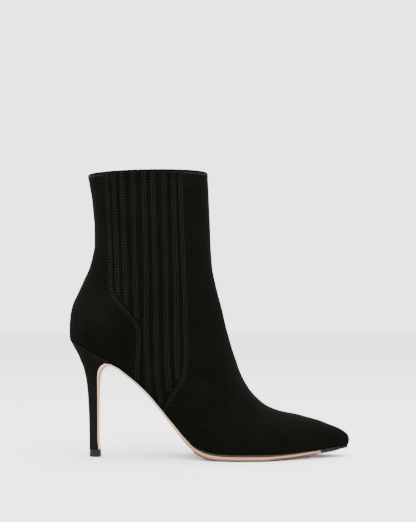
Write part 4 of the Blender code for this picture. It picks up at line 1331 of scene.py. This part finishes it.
def lacquer_material():
    """Glossy black edge paint."""
    nodes = Nodes("black_lacquer_gloss")
    ripple = nodes.noise(3.5, 2.0)
    base = nodes.blend(nodes.span(ripple), (0.003, 0.003, 0.0035), (0.005, 0.0045, 0.0055))
    return nodes.finish(
        (ripple, 0.15, 0.08), Base_Color=base,
        Roughness=nodes.span(ripple, to_low=0.26, to_high=0.40), Specular_IOR_Level=0.25,
        Coat_Weight=0.10, Coat_Roughness=0.15)


def toe_rubber_material():
    """Black rubber with a faint moulded texture."""
    nodes = Nodes("toe_rubber_matt")
    speck = nodes.noise(0.5)
    tone = nodes.span(nodes.noise(9.0, 2.0))
    return nodes.finish(
        (speck, 0.25, 0.04),
        Base_Color=nodes.blend(tone, (0.0050, 0.0062, 0.0058), (0.0090, 0.0108, 0.0100)),
        Roughness=nodes.span(speck, to_low=0.50, to_high=0.66), Specular_IOR_Level=0.08)


def heel_rubber_material():
    """Hard dark grey rubber of the top piece, a little scuffed."""
    nodes = Nodes("heel_rubber_hard")
    speck = nodes.noise(0.35)
    scuff = nodes.span(nodes.noise(2.2, 4.0, nodes.stretched((0.4, 0.4, 2.0))), 0.35, 0.7)
    return nodes.finish(
        (speck, 0.3, 0.04),
        Base_Color=nodes.blend(scuff, (0.0050, 0.0054, 0.0054), (0.0090, 0.0095, 0.0094)),
        Roughness=nodes.span(speck, to_low=0.42, to_high=0.62), Specular_IOR_Level=0.10)


def floor_material():
    """Pale matt floor."""
    nodes = Nodes("pale_floor")
    tone = nodes.noise(60.0, 2.0)
    return nodes.finish(
        Roughness=0.85, Specular_IOR_Level=0.2,
        Base_Color=nodes.blend(tone, (0.80, 0.80, 0.80), (0.82, 0.82, 0.82)))


def add_area(name, place, target, size, power):
    """Soft rectangular light that faces a target."""
    data = bpy.data.lights.new(name, "AREA")
    data.shape = "RECTANGLE"
    data.size = size[0]
    data.size_y = size[1]
    data.energy = power
    lamp = add_object(name, data)
    lamp.location = place
    lamp.rotation_euler = (Vector(target) - Vector(place)).to_track_quat("-Z", "Y").to_euler()


def build_stage():
    """Pale floor, soft light from above and a camera level with the ankle."""
    mesh = bpy.data.meshes.new("floor")
    ring = [(FLOOR_RADIUS * math.cos(a), FLOOR_RADIUS * math.sin(a), 0.0)
            for a in np.linspace(0.0, 2.0 * math.pi, FLOOR_SIDES, endpoint=False)]
    mesh.from_pydata(ring, [], [list(range(len(ring)))])
    mesh.materials.append(floor_material())
    add_object("floor", mesh)

    world = bpy.data.worlds.new("studio")
    world.use_nodes = True
    sky = world.node_tree.nodes["Background"]
    sky.inputs["Color"].default_value = (1.0, 1.0, 1.0, 1.0)
    sky.inputs["Strength"].default_value = SKY_STRENGTH
    bpy.context.scene.world = world
    for light in LIGHTS:
        add_area(*light)

    camera = add_object("camera", bpy.data.cameras.new("camera"))
    camera.location = CAMERA_PLACE
    camera.rotation_euler = (math.pi / 2.0, 0.0, 0.0)
    camera.data.lens = CAMERA_LENS
    camera.data.sensor_width = SENSOR
    camera.data.shift_y = HORIZON_BELOW_MIDDLE / PHOTO_HEIGHT
    bpy.context.scene.camera = camera


def main():
    skin = upper_skin()
    build_upper(skin)
    build_lining(skin)
    for place, side in (("lateral", -1.0), ("medial", 1.0)):
        node = "gore_panel_" + place
        points, faces = build_panel("panel_" + place, side, skin, node)
        faces = [tuple(i + len(skin.outer) for i in face) for face in faces]
        tree = skin_tree(np.vstack((skin.outer, points)), skin.faces + faces)
        build_panel_stitches("stitches_" + place, side, tree, node)
    build_topline_stitches(skin_tree(skin.outer, skin.faces))
    build_rand()
    build_insole()
    build_outsole()
    build_toe_insert()
    build_heel()
    build_top_piece()
    build_stage()


main()
